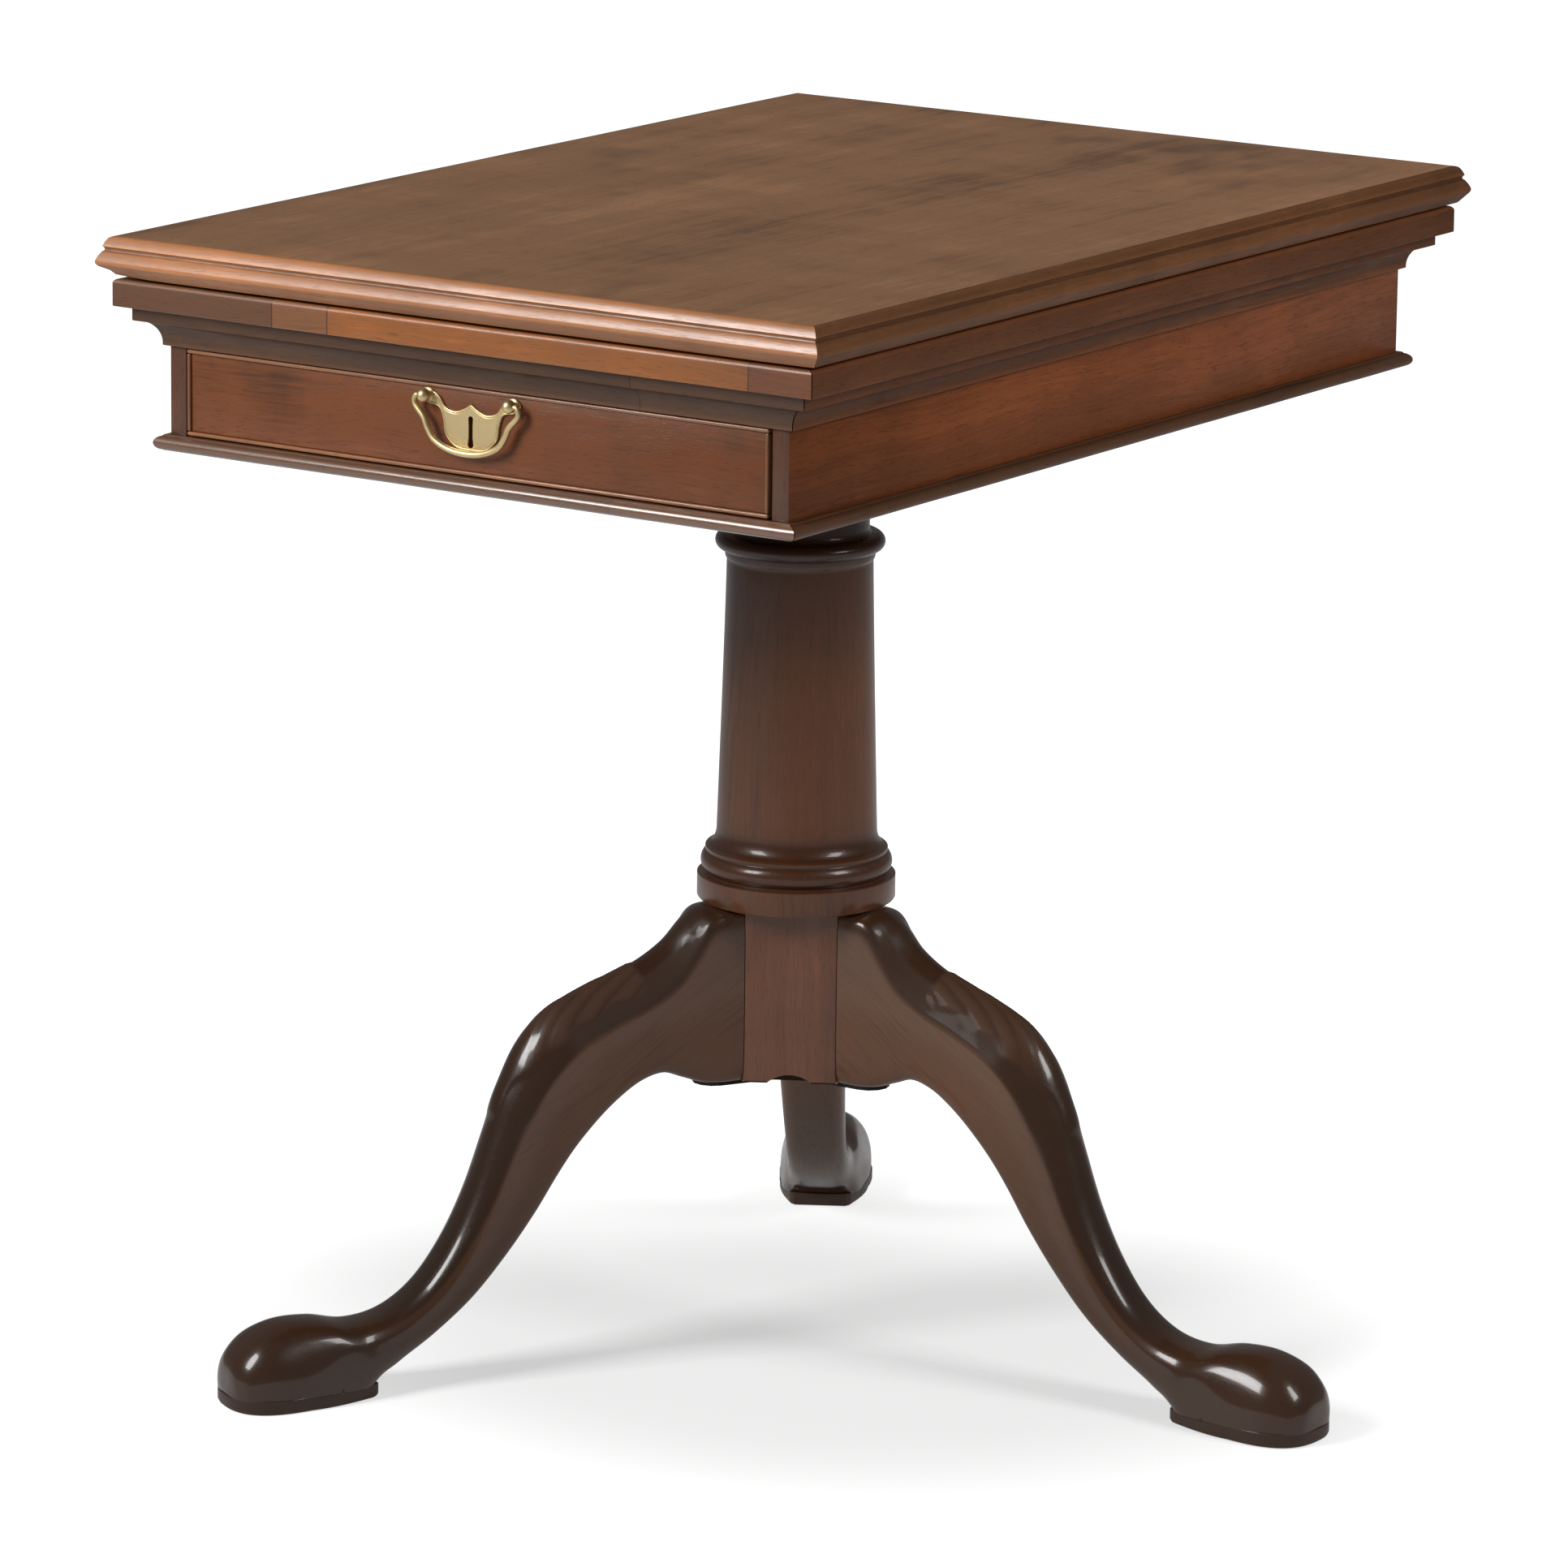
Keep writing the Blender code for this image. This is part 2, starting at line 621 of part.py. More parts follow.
def make_legs():
    body = leg_body()
    tongue_h = TONGUE_Z1 - TONGUE_Z0
    tongue = as_mesh(plate("leg_tongue", [tongue_outline(0)], tongue_h, (0, 0, TONGUE_Z0 + tongue_h / 2)))
    boolean(body, tongue, "UNION")
    boolean(body, sole(), "UNION")
    pattern = as_mesh(body)
    mesh = pattern.data
    mesh.shade_smooth()
    mesh.set_sharp_from_angle(angle=math.radians(40))
    for name, angle in zip(("leg_side", "leg_rear", "leg_front"), LEG_ANGLES):
        leg = mesh.copy()
        leg.name = name
        add(name, leg, (0, 0, 0), "mahogany_leg", turn=(0, 0, angle))


def make_spider():
    """Three-armed iron plate nailed under the block and the legs."""
    half = SPIDER_ARM_W / 2
    outline = []
    for angle in LEG_ANGLES:
        along, across = leg_direction(angle)
        inner, _ = leg_direction(angle - math.pi / 3)
        points = [inner * half / math.sin(math.pi / 3)]
        for r, side in arc((SPIDER_R - half, 0), half, -90, 90, 7):
            points.append(along * r + across * side)
        outline += [(p.x, p.y) for p in points]
    plate("spider_plate", [outline], SPIDER_T, (0, 0, BLOCK_Z0 - SEAT - SPIDER_T / 2), "iron")


def make_bearer():
    """Square block between the column's tenon and the box, bevelled all round below."""
    half = BEARER_W / 2
    form = bmesh.new()
    size = Matrix.Diagonal((BEARER_W, BEARER_W, BEARER_T, 1.0))
    bmesh.ops.create_cube(form, size=1.0, matrix=size)
    under = [v for v in form.verts if v.co.z < 0]
    bmesh.ops.scale(form, verts=under, vec=(1 - BEARER_BEVEL / half, 1 - BEARER_BEVEL / half, 1))
    middle = (0, 0, BEARER_Z0 + BEARER_T / 2)
    bearer = add("bearer_block", mesh_from(form, "bearer_block"), middle, "mahogany_column")
    low, high = (0, 0, BEARER_Z0 - PAST), (0, 0, BOX_Z0 + PAST)
    hole = rod("tenon_hole", low, high, TENON_R + SEAT, sides=TURN_STEPS)
    boolean(bearer, hole, "DIFFERENCE")


# Box under the top


def moulding(name, profile, run, finish):
    """A strip of this section, from one mitred end to its mirror image along the run (0 for X, 1 for Y)."""
    form = bmesh.new()
    near = form.faces.new([form.verts.new(p) for p in profile])
    grown = bmesh.ops.extrude_face_region(form, geom=[near])["geom"]
    for vert in grown:
        if isinstance(vert, bmesh.types.BMVert):
            vert.co[run] = -vert.co[run]
    bmesh.ops.recalc_face_normals(form, faces=form.faces)
    return add(name, mesh_from(form, name), (0, 0, 0), finish)


def frame_of_mouldings(prefix, profile, side_out, end_out, finish):
    """Four mitred strips round the box. The profile gives (share of the projection, height)."""
    half_w, half_l = BOX_W / 2, BOX_L / 2
    for sign, word in ((-1, "left"), (1, "right")):
        section = []
        for share, z in profile:
            x = sign * (half_w + SEAT + side_out * share)
            section.append((x, MITRE - half_l - end_out * share, z))
        moulding(f"{prefix}_{word}", section, 1, finish)
    for sign, word in ((-1, "front"), (1, "back")):
        section = []
        for share, z in profile:
            y = sign * (half_l + SEAT + end_out * share)
            section.append((MITRE - half_w - side_out * share, y, z))
        moulding(f"{prefix}_{word}", section, 0, finish)


def make_cornice():
    """Bead, cavetto, fillet and flat band, built out from the box's upper edge."""
    cove_z1 = FILLET_Z0
    cove_z0 = FRIEZE_Z1 + CORNICE_BEAD_H
    bead, cove, fillet = 0.13, 0.56, 0.66
    profile = [(0, FRIEZE_Z1), (bead, FRIEZE_Z1)]
    for across, up in arc((1, 0), 1, 180, 96, 6):
        profile.append((bead + (cove - bead) * across, cove_z0 + (cove_z1 - cove_z0) * up))
    profile += [(fillet, FILLET_Z0), (fillet, BAND_Z0), (1, BAND_Z0), (1, BAND_Z1), (0, BAND_Z1)]
    frame_of_mouldings("cornice", profile, CORNICE_SIDE, CORNICE_END, "mahogany_moulding")


def make_base_moulding():
    """Small rounded moulding round the box's lower edge."""
    nose = [(0.35 + 0.65 * a, BOX_Z0 + BASE_H * (0.46 + 0.42 * u)) for a, u in arc((0, 0), 1, -80, 80, 7)]
    profile = [(0, BOX_Z0), (0.35, BOX_Z0)] + nose + [(0.35, FRIEZE_Z0 - SEAT), (0, FRIEZE_Z0 - SEAT)]
    frame_of_mouldings("base_moulding", profile, BASE_SIDE, BASE_END, "mahogany_moulding")


def make_box():
    lid_z = TOP_Z0 - SEAT
    for sign, word in ((-1, "left"), (1, "right")):
        board(f"box_side_{word}", (sign * INNER_X, sign * BOX_W / 2), (FRONT_Y, BOX_L / 2), (BOX_Z0, lid_z),
              "mahogany_frieze")
    between = (SEAT - INNER_X, INNER_X - SEAT)
    board("box_back", between, (BACK_Y, BOX_L / 2), (BOX_Z0, lid_z), "mahogany_frieze")
    board("box_floor", between, (FRONT_Y, BACK_Y - SEAT), (BOX_Z0, FLOOR_Z1), "mahogany_frieze")
    rail = board("front_rail", between, (FRONT_Y, RAIL_Y), (FRIEZE_Z1, lid_z), "mahogany_frieze")
    mortise = board(
        "bolt_mortise",
        (-BOLT_W / 2 - PLAY, BOLT_W / 2 + PLAY),
        (BOLT_Y - BOLT_T / 2 - PLAY, BOLT_Y + BOLT_T / 2 + PLAY),
        (FRIEZE_Z1 - PAST, FRIEZE_Z1 + BOLT_SHOT + PLAY),
    )
    boolean(rail, mortise, "DIFFERENCE")
    board("dust_board", between, (RAIL_Y + SEAT, BACK_Y - SEAT), (FRIEZE_Z1 + SEAT, DUST_Z1), "drawer_lining")
    for sign, word in ((-1, "left"), (1, "right")):
        wide, deep, tall = STOP_SIZE
        board(
            f"drawer_stop_{word}",
            (sign * STOP_X - wide / 2, sign * STOP_X + wide / 2),
            (DRAWER_Y1 + SEAT, DRAWER_Y1 + SEAT + deep),
            (FLOOR_Z1 + SEAT, FLOOR_Z1 + SEAT + tall),
            "drawer_lining",
        )


# Tilting top, hinges, strut and racks


def make_top():
    """The top with its moulded edge, raised step by step from its underside."""
    ovolo_z0 = TABLE_H - TOP_FILLET - TOP_OVOLO_H
    cove_z1 = TOP_Z0 + TOP_COVE_H
    steps = [(TOP_COVE_W, TOP_Z0)]
    for angle in (0.5, 1.0, math.pi / 2):
        steps.append((TOP_COVE_W * (0.25 + 0.75 * math.cos(angle)), TOP_Z0 + TOP_COVE_H * math.sin(angle)))
    steps += [(TOP_NOSE_IN, cove_z1 + TOP_NOSE_H / 2), (0.0, cove_z1 + TOP_NOSE_H), (0.0, ovolo_z0)]
    for angle in (0.45, 0.9, 1.3):
        steps.append((TOP_OVOLO_W * (1 - math.cos(angle)), ovolo_z0 + TOP_OVOLO_H * math.sin(angle)))
    steps += [(TOP_OVOLO_W, ovolo_z0 + TOP_OVOLO_H), (TOP_OVOLO_W + TOP_FILLET_IN, TABLE_H)]
    form = bmesh.new()
    bmesh.ops.create_grid(form, x_segments=1, y_segments=1, size=1.0)
    face = next(iter(form.faces))
    for number, (inset, z) in enumerate(steps):
        if number:
            face = grow(form, face, number > 1)
        for vert in face.verts:
            vert.co.x = math.copysign(TOP_W / 2 - inset, vert.co.x)
            vert.co.y = math.copysign(TOP_L / 2 - inset, vert.co.y)
            vert.co.z = z
    bmesh.ops.recalc_face_normals(form, faces=form.faces)
    bmesh.ops.translate(form, verts=form.verts, vec=(-HINGE_X, 0, -HINGE_Z))
    add("top_board", mesh_from(form, "top_board"), (HINGE_X, 0, HINGE_Z), "mahogany_top", "top_tilt_axis")


def hinge_leaf(name, y, knuckles, z, on):
    """A brass leaf with its knuckles bored for the pin."""
    inner = HINGE_X + BARREL_R + SEAT
    leaf = board(name, (inner, inner + LEAF_W), (y - HINGE_L / 2, y + HINGE_L / 2), z, "brass", on)
    for number, (start, end) in enumerate(knuckles):
        barrel = rod(f"{name}_barrel_{number}", (HINGE_X, y + start, HINGE_Z), (HINGE_X, y + end, HINGE_Z),
                     BARREL_R, on=on)
        neck = board(f"{name}_neck_{number}", (HINGE_X, inner + INTO), (y + start, y + end), z, on=on)
        boolean(leaf, barrel, "UNION")
        boolean(leaf, neck, "UNION")
    far = HINGE_L / 2 + PAST
    near_end, far_end = (HINGE_X, y - far, HINGE_Z), (HINGE_X, y + far, HINGE_Z)
    bore = rod(f"{name}_bore", near_end, far_end, PIN_R + BORE_PLAY, on=on)
    boolean(leaf, bore, "DIFFERENCE")


def make_hinges():
    third = HINGE_L / 6
    outer = HINGE_L / 2
    low = (BAND_Z1 + LEAF_PLAY, BAND_Z1 + LEAF_PLAY + LEAF_T)
    high = (TOP_Z0 - LEAF_PLAY - LEAF_T, TOP_Z0 - LEAF_PLAY)
    for y, word in ((-HINGE_Y, "front"), (HINGE_Y, "back")):
        hinge_leaf(f"hinge_{word}_lower_leaf", y, [(-outer, -third), (third, outer)], low, "frame")
        hinge_leaf(f"hinge_{word}_upper_leaf", y, [(SEAT - third, third - SEAT)], high, "top_tilt_axis")
        rod(f"hinge_{word}_pin", (HINGE_X, y - outer, HINGE_Z), (HINGE_X, y + outer, HINGE_Z), PIN_R, "brass")


def strut_bar(name, centre_x, outline, half_y, finish):
    """A bar across the strut with this section, as (along the strut, up)."""
    place = (centre_x, 0, STRUT_Z)
    return plate(name, [outline], 2 * half_y, place, finish, "strut_axis", (math.pi / 2, 0, 0))


def make_strut():
    """Easel frame under the top: a pivot rail with turned pins, two arms and a rounded foot rail."""
    nose = STRUT_T / 2
    rail_half = STRUT_W / 2 - BRACKET_T - STRUT_PIN_L / 4
    deep = STRUT_BAR - nose
    pivot_section = arc((0, 0), nose, 90, 270, 9) + [(deep, -nose), (deep, nose)]
    rail = as_mesh(strut_bar("strut_pivot_rail", PIVOT_X, pivot_section, rail_half, "drawer_lining"))
    for sign in (-1, 1):
        pin = rod(f"strut_rail_pin_{sign}", (PIVOT_X, sign * (rail_half - INTO), STRUT_Z),
                  (PIVOT_X, sign * (rail_half + STRUT_PIN_L), STRUT_Z), STRUT_PIN_R, on="strut_axis")
        boolean(rail, pin, "UNION")
    foot_x = PIVOT_X + STRUT_L
    foot_section = arc((0, 0), nose, -90, 90, 9) + [(-deep, nose), (-deep, -nose)]
    strut_bar("strut_foot_rail", foot_x, foot_section, STRUT_W / 2, "drawer_lining")
    for sign, word in ((-1, "front"), (1, "back")):
        middle = sign * RACK_Y
        board(f"strut_arm_{word}", (PIVOT_X + deep + SEAT, foot_x - deep - SEAT),
              (middle - STRUT_BAR / 2, middle + STRUT_BAR / 2), (STRUT_Z - nose, STRUT_Z + nose),
              "drawer_lining", "strut_axis", ARM_EASE)
        inner = sign * (rail_half + PLAY)
        bracket_z = (STRUT_Z - STRUT_PIN_R - BRACKET_WALL, TOP_Z0 - SEAT)
        bracket = board(f"strut_bracket_{word}", (PIVOT_X - BRACKET_W / 2, PIVOT_X + BRACKET_W / 2),
                        (inner, inner + sign * BRACKET_T), bracket_z, "drawer_lining", "top_tilt_axis")
        bore = rod(f"strut_bracket_bore_{word}", (PIVOT_X, inner - sign * PAST, STRUT_Z),
                   (PIVOT_X, inner + sign * (BRACKET_T + PAST), STRUT_Z), STRUT_PIN_R + BORE_PLAY,
                   on="top_tilt_axis")
        boolean(bracket, bore, "DIFFERENCE")


def foot_x_at(tilt):
    """Where the middle of the strut's rounded foot comes to at this tilt of the top."""
    return HINGE_X + (PIVOT_REACH + STRUT_L) * math.cos(tilt) + STRUT_SINK * math.sin(tilt)


def make_racks():
    """Two toothed racks on the dust board: each notch stops the foot from sliding outwards."""
    base = DUST_Z1 + SEAT
    walls = sorted(foot_x_at(tilt) + STRUT_T / 2 for tilt in NOTCH_TILTS)
    low = RACK_Z1 - TOOTH_H
    start, end = walls[0] - 2 * STRUT_T, FOOT_REST_X + STRUT_T / 2
    outline = [(start, base), (start, RACK_Z1), (start + RACK_LAND, RACK_Z1)]
    for wall in walls:
        outline += [(wall, low), (wall, RACK_Z1)]
    outline += [(walls[-1] + RACK_SLOPE, low), (end, low), (end, base)]
    middle = ((start + end) / 2, (base + RACK_Z1) / 2)
    shape = [(x - middle[0], z - middle[1]) for x, z in outline]
    for sign, word in ((-1, "front"), (1, "back")):
        plate(f"rack_{word}", [shape], RACK_W, (middle[0], sign * RACK_Y, middle[1]), "drawer_lining",
              turn=(math.pi / 2, 0, 0))


# Drawer, lock and handle


def make_drawer():
    inner_x = DRAWER_X - DRAWER_SIDE_T
    front_z = (DRAWER_FRONT_Z0 + BEAD_T + SEAT, DRAWER_Z1 - BEAD_T - SEAT)
    front_x = DRAWER_X - BEAD_T - SEAT
    front_y = (FRONT_Y, FRONT_Y + DRAWER_FRONT_T)
    through_y = (FRONT_Y - PAST, FRONT_Y + DRAWER_FRONT_T + PAST)
    front = board("drawer_front", (-front_x, front_x), front_y, front_z, "mahogany_frieze", "drawer_slide")
    for number, sign in enumerate((-1, 1)):
        start, end = [(sign * POST_X, y, POST_Z) for y in through_y]
        hole = rod(f"post_hole_{number}", start, end, POST_SHANK_R + SEAT, on="drawer_slide")
        boolean(front, hole, "DIFFERENCE")
    keyhole_z = (KEYHOLE_Z1 - KEYHOLE_H, KEYHOLE_Z1)
    keyhole = board("keyhole_cut", (-KEYHOLE_W / 2, KEYHOLE_W / 2), through_y, keyhole_z, on="drawer_slide")
    boolean(front, keyhole, "DIFFERENCE")
    bead_y = (FRONT_Y - BEAD_OUT, FRONT_Y + DRAWER_FRONT_T)
    for word, z0 in (("top", DRAWER_Z1 - BEAD_T), ("bottom", DRAWER_FRONT_Z0)):
        board(f"drawer_bead_{word}", (-DRAWER_X, DRAWER_X), bead_y, (z0, z0 + BEAD_T), "mahogany_moulding",
              "drawer_slide", BEAD_T * 0.3)
    for word, sign in (("left", -1), ("right", 1)):
        board(f"drawer_bead_{word}", (sign * (DRAWER_X - BEAD_T), sign * DRAWER_X), bead_y, front_z,
              "mahogany_moulding", "drawer_slide", BEAD_T * 0.3)
        board(f"drawer_side_{word}", (sign * inner_x, sign * DRAWER_X), (DRAWER_Y0, DRAWER_Y1),
              (DRAWER_Z0, DRAWER_Z1 - PLAY), "drawer_lining", "drawer_slide")
    bottom_z0 = DRAWER_Z0 + DRAWER_BOTTOM_UP
    bottom_z1 = bottom_z0 + DRAWER_BOTTOM_T
    between = (SEAT - inner_x, inner_x - SEAT)
    bottom_z = (bottom_z0, bottom_z1)
    board("drawer_bottom", between, (DRAWER_Y0, DRAWER_Y1), bottom_z, "drawer_lining", "drawer_slide")
    board("drawer_back", between, (DRAWER_Y1 - DRAWER_SIDE_T, DRAWER_Y1),
          (bottom_z1 + SEAT, DRAWER_Z1 - DRAWER_BACK_DROP), "drawer_lining", "drawer_slide")


def make_lock():
    """Iron lock behind the drawer front, whose bolt rises into the rail."""
    lock_y = (DRAWER_Y0, DRAWER_Y0 + LOCK_T)
    lock_z = (LOCK_Z1 - LOCK_H, LOCK_Z1)
    case = board("lock_case", (-LOCK_W / 2, LOCK_W / 2), lock_y, lock_z, "iron", "drawer_slide")
    bolt_z0 = LOCK_Z1 - BOLT_H
    channel = board(
        "bolt_channel",
        (-BOLT_W / 2 - BORE_PLAY, BOLT_W / 2 + BORE_PLAY),
        (BOLT_Y - BOLT_T / 2 - BORE_PLAY, BOLT_Y + BOLT_T / 2 + BORE_PLAY),
        (bolt_z0 - SEAT, LOCK_Z1 + PAST),
        on="drawer_slide",
    )
    boolean(case, channel, "DIFFERENCE")
    bolt_y = (BOLT_Y - BOLT_T / 2, BOLT_Y + BOLT_T / 2)
    board("lock_bolt", (-BOLT_W / 2, BOLT_W / 2), bolt_y, (bolt_z0, LOCK_Z1), "iron", "bolt_slide", BOLT_EASE)


def smooth_loop(half):
    """A closed outline from its right half, which runs from the lower middle up to the upper middle."""
    fine = []
    for number in range(4 * (len(half) - 1) + 1):
        at = number / 4
        fine.append((spline_value([p[0] for p in half], at), spline_value([p[1] for p in half], at)))
    return fine + [(-x, y) for x, y in reversed(fine[1:-1])]


def make_handle():
    """Bat-wing plate with its keyhole, two ball-headed posts with nuts, and a swan-neck bail."""
    outline = smooth_loop([(POST_X * x, BAIL_DROP * z) for x, z in PLATE_OUTLINE_RATIO])
    key_half = KEYHOLE_W / 2
    key_low = -KEYHOLE_DROP - KEYHOLE_H
    key_high = -KEYHOLE_DROP
    keyhole = [(-key_half, key_low), (key_half, key_low), (key_half, key_high), (-key_half, key_high)]
    holes = [circle((sign * POST_X, 0), POST_SHANK_R + SEAT) for sign in (-1, 1)]
    plate("handle_plate", [outline, keyhole] + holes, PLATE_T, (0, PLATE_Y, POST_Z), "brass", "drawer_slide",
          (math.pi / 2, 0, 0))
    plate_front = POST_OUT - SEAT - PLATE_T - SEAT
    shank_end = POST_OUT + DRAWER_FRONT_T + SEAT + NUT_T + SHANK_PAST
    ball = arc((0, 0), POST_BALL_R, 90, -48, 8)
    profile = [(max(r, 0), z) for r, z in ball]
    profile += [(POST_NECK_R, -POST_BALL_R - SEAT), (POST_BALL_R, POST_FLANGE - plate_front)]
    profile += [(POST_BALL_R, -plate_front)]
    profile += [(POST_SHANK_R, -plate_front), (POST_SHANK_R, -shank_end), (0, -shank_end)]
    reach = POST_BALL_R + PAST
    nut_y = FRONT_Y + DRAWER_FRONT_T + SEAT
    for sign, word in ((-1, "left"), (1, "right")):
        x = sign * POST_X
        post = turned(f"handle_post_{word}", profile, (x, BAIL_Y, POST_Z), "brass", "drawer_slide",
                      (math.pi / 2, 0, 0), 16)
        inner_end, outer_end = (x - reach, BAIL_Y, POST_Z), (x + reach, BAIL_Y, POST_Z)
        bore_r = BAIL_PIN_R + BORE_PLAY
        bore = rod(f"post_bore_{word}", inner_end, outer_end, bore_r, on="drawer_slide", sides=12)
        boolean(post, bore, "DIFFERENCE")
        rings = [circle((0, 0), NUT_R, 8), circle((0, 0), POST_SHANK_R + BORE_PLAY)]
        plate(f"handle_nut_{word}", rings, NUT_T, (x, nut_y + NUT_T / 2, POST_Z), "brass", "drawer_slide",
              (math.pi / 2, 0, 0))
    make_bail()


def make_bail():
    """Swan-neck bail: its ends turn in through the posts, and it hangs round the plate."""
    drop = BAIL_DROP
    half = [(POST_X - POST_BALL_R * 0.83, 0, BAIL_PIN_R), (POST_X + POST_BALL_R * 1.24, 0, BAIL_PIN_R),
            (BAIL_HALF_W, -drop * 0.17, BAIL_R * 0.85), (POST_X, -drop * 0.40, BAIL_R),
            (POST_X * 0.903, -drop * 0.60, BAIL_R), (POST_X * 0.740, -drop * 0.81, BAIL_R),
            (POST_X * 0.406, -drop * 0.955, BAIL_R), (0, -drop, BAIL_R * 1.1)]
    route = half + [(-x, z, r) for x, z, r in reversed(half[:-1])]
    fine = []
    for number in range(4 * (len(route) - 1) + 1):
        fine.append([spline_value([p[k] for p in route], number / 4) for k in range(3)])
    for point in fine:
        if abs(point[0]) < POST_X + POST_BALL_R + SEAT and point[1] > -drop * 0.1:
            point[1:] = 0.0, BAIL_PIN_R
    curve = bpy.data.curves.new("bail", "CURVE")
    curve.dimensions = "3D"
    curve.bevel_depth = BAIL_R
    curve.bevel_resolution = 2
    curve.use_fill_caps = True
    spline = curve.splines.new("POLY")
    spline.points.add(len(fine) - 1)
    for point, (x, z, radius) in zip(spline.points, fine):
        point.co = (x, 0.0, z, 1.0)
        point.radius = radius / BAIL_R
    add("bail", curve, (0, BAIL_Y, POST_Z), "brass", "bail_axis")


carrier("frame", (0, 0, 0))
carrier("top_tilt_axis", (HINGE_X, 0, HINGE_Z), "frame")
carrier("strut_axis", (PIVOT_X, 0, STRUT_Z), "top_tilt_axis")
carrier("drawer_slide", (0, FRONT_Y, FLOOR_Z1), "frame")
carrier("bail_axis", (0, BAIL_Y, POST_Z), "drawer_slide")
carrier("bolt_slide", (0, BOLT_Y, LOCK_Z1), "drawer_slide")
make_column()
make_legs()
make_spider()
make_bearer()
make_box()
make_cornice()
make_base_moulding()
make_top()
make_hinges()
make_strut()
make_racks()
make_drawer()
make_lock()
make_handle()
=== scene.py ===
"""Looks of the tripod reading table, laid out as a Blender add-on and run as a script.

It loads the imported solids, models the pieces that show, gives every piece its finish, and lights and frames
the scene. Metres, +Z up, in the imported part's own frame: the drawer faces -Y and the reader sits at -X.
"""

import math

import bmesh
import bpy
import numpy as np
from mathutils import Matrix, Vector, noise


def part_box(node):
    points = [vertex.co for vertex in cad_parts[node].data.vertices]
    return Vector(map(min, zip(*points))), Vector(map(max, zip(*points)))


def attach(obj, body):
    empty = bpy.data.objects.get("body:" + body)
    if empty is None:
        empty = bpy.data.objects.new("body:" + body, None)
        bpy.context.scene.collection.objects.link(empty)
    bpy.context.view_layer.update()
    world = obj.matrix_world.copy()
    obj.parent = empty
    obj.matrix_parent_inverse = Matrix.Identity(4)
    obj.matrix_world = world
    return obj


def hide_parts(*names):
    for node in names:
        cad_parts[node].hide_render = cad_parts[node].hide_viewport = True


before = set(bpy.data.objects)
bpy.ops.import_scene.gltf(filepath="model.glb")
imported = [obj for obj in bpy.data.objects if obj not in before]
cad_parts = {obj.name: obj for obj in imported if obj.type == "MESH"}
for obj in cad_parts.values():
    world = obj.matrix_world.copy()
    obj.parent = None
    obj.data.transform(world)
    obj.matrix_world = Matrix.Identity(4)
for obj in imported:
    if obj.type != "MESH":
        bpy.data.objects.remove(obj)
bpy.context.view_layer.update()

bl_info = {
    "name": "Reading table",
    "version": (1, 0, 0),
    "blender": (4, 5, 0),
    "location": "View3D > Sidebar > Reading table",
    "description": "Models and finishes a tripod reading table over its packed solids",
    "category": "Object",
}

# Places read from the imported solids
COLUMN_LOW, COLUMN_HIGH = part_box("column")
TOP_LOW, TOP_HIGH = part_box("top_board")
CORNICE_LOW, CORNICE_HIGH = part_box("cornice_front")
CORNICE_SIDE_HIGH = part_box("cornice_right")[1]
BASE_LOW, BASE_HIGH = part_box("base_moulding_front")
BASE_SIDE_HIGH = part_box("base_moulding_right")[1]
SIDE_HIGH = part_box("box_side_right")[1]
FRONT_LOW, FRONT_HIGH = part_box("drawer_front")
PLATE_LOW, PLATE_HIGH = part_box("handle_plate")
AXIS_X = (COLUMN_LOW.x + COLUMN_HIGH.x) / 2
BOX_HALF_W = SIDE_HIGH.x - AXIS_X
BOX_HALF_L = SIDE_HIGH.y

# Sizes repeated from the part's source
SEAT = 0.0003
MITRE = 0.0002
BAND_H = 0.0168
FILLET_H = 0.0087
CORNICE_BEAD_H = 0.0016
TOP_DRIP = 0.0010
TOP_COVE_W = 0.011
TOP_COVE_H = 0.0045
LEAF_W = 0.024
HINGE_L = 0.060
COLLAR_Z0 = 0.288
BLOCK_FLAT = 0.042
LEG_T = 0.044
LEG_FACE = 2 * BLOCK_FLAT - LEG_T * math.cos(math.pi / 6)
LEG_TURNS = {"leg_side": 0.0, "leg_rear": 120.0, "leg_front": 240.0}
SOLE_HEEL_R = 0.2935
SOLE_TOE_R = 0.390
SOLE_W = 0.060
POST_X = 0.0308
POST_Z = 0.6564
BAIL_Y = -0.3554
BAIL_R = 0.0020
BAIL_DROP = 0.0318
BAIL_HALF_W = 0.0372
POST_BALL_R = 0.0042

# Height at which the pad foot meets its sole
FOOT_Z0 = 0.0082

# Heights on the column: ring under the neck, shaft's two ends, and torus over the collar
RING_Z = 0.516
SHAFT_Z1, SHAFT_Z0 = 0.5025, 0.3325
TORUS_Z = 0.3112

# Faces of the hinges' leaves that lie towards each other, on which their screws sit
LEAF_FACES = {"lower": 0.705525, "upper": 0.705775}

# Seed of the small unevenness of planed wood, the same in every run
WOBBLE_SEED = 18

# Camera fitted to the photograph: place, turns about its axes in degrees, and lens and sensor in millimetres
CAMERA_PLACE = (2.806, -4.314, 1.5712)
CAMERA_TURNS = (("Z", 33.737), ("X", 90 - 13.1475), ("Z", 0.703))
CAMERA_LENS = 194.64
CAMERA_SENSOR = 36

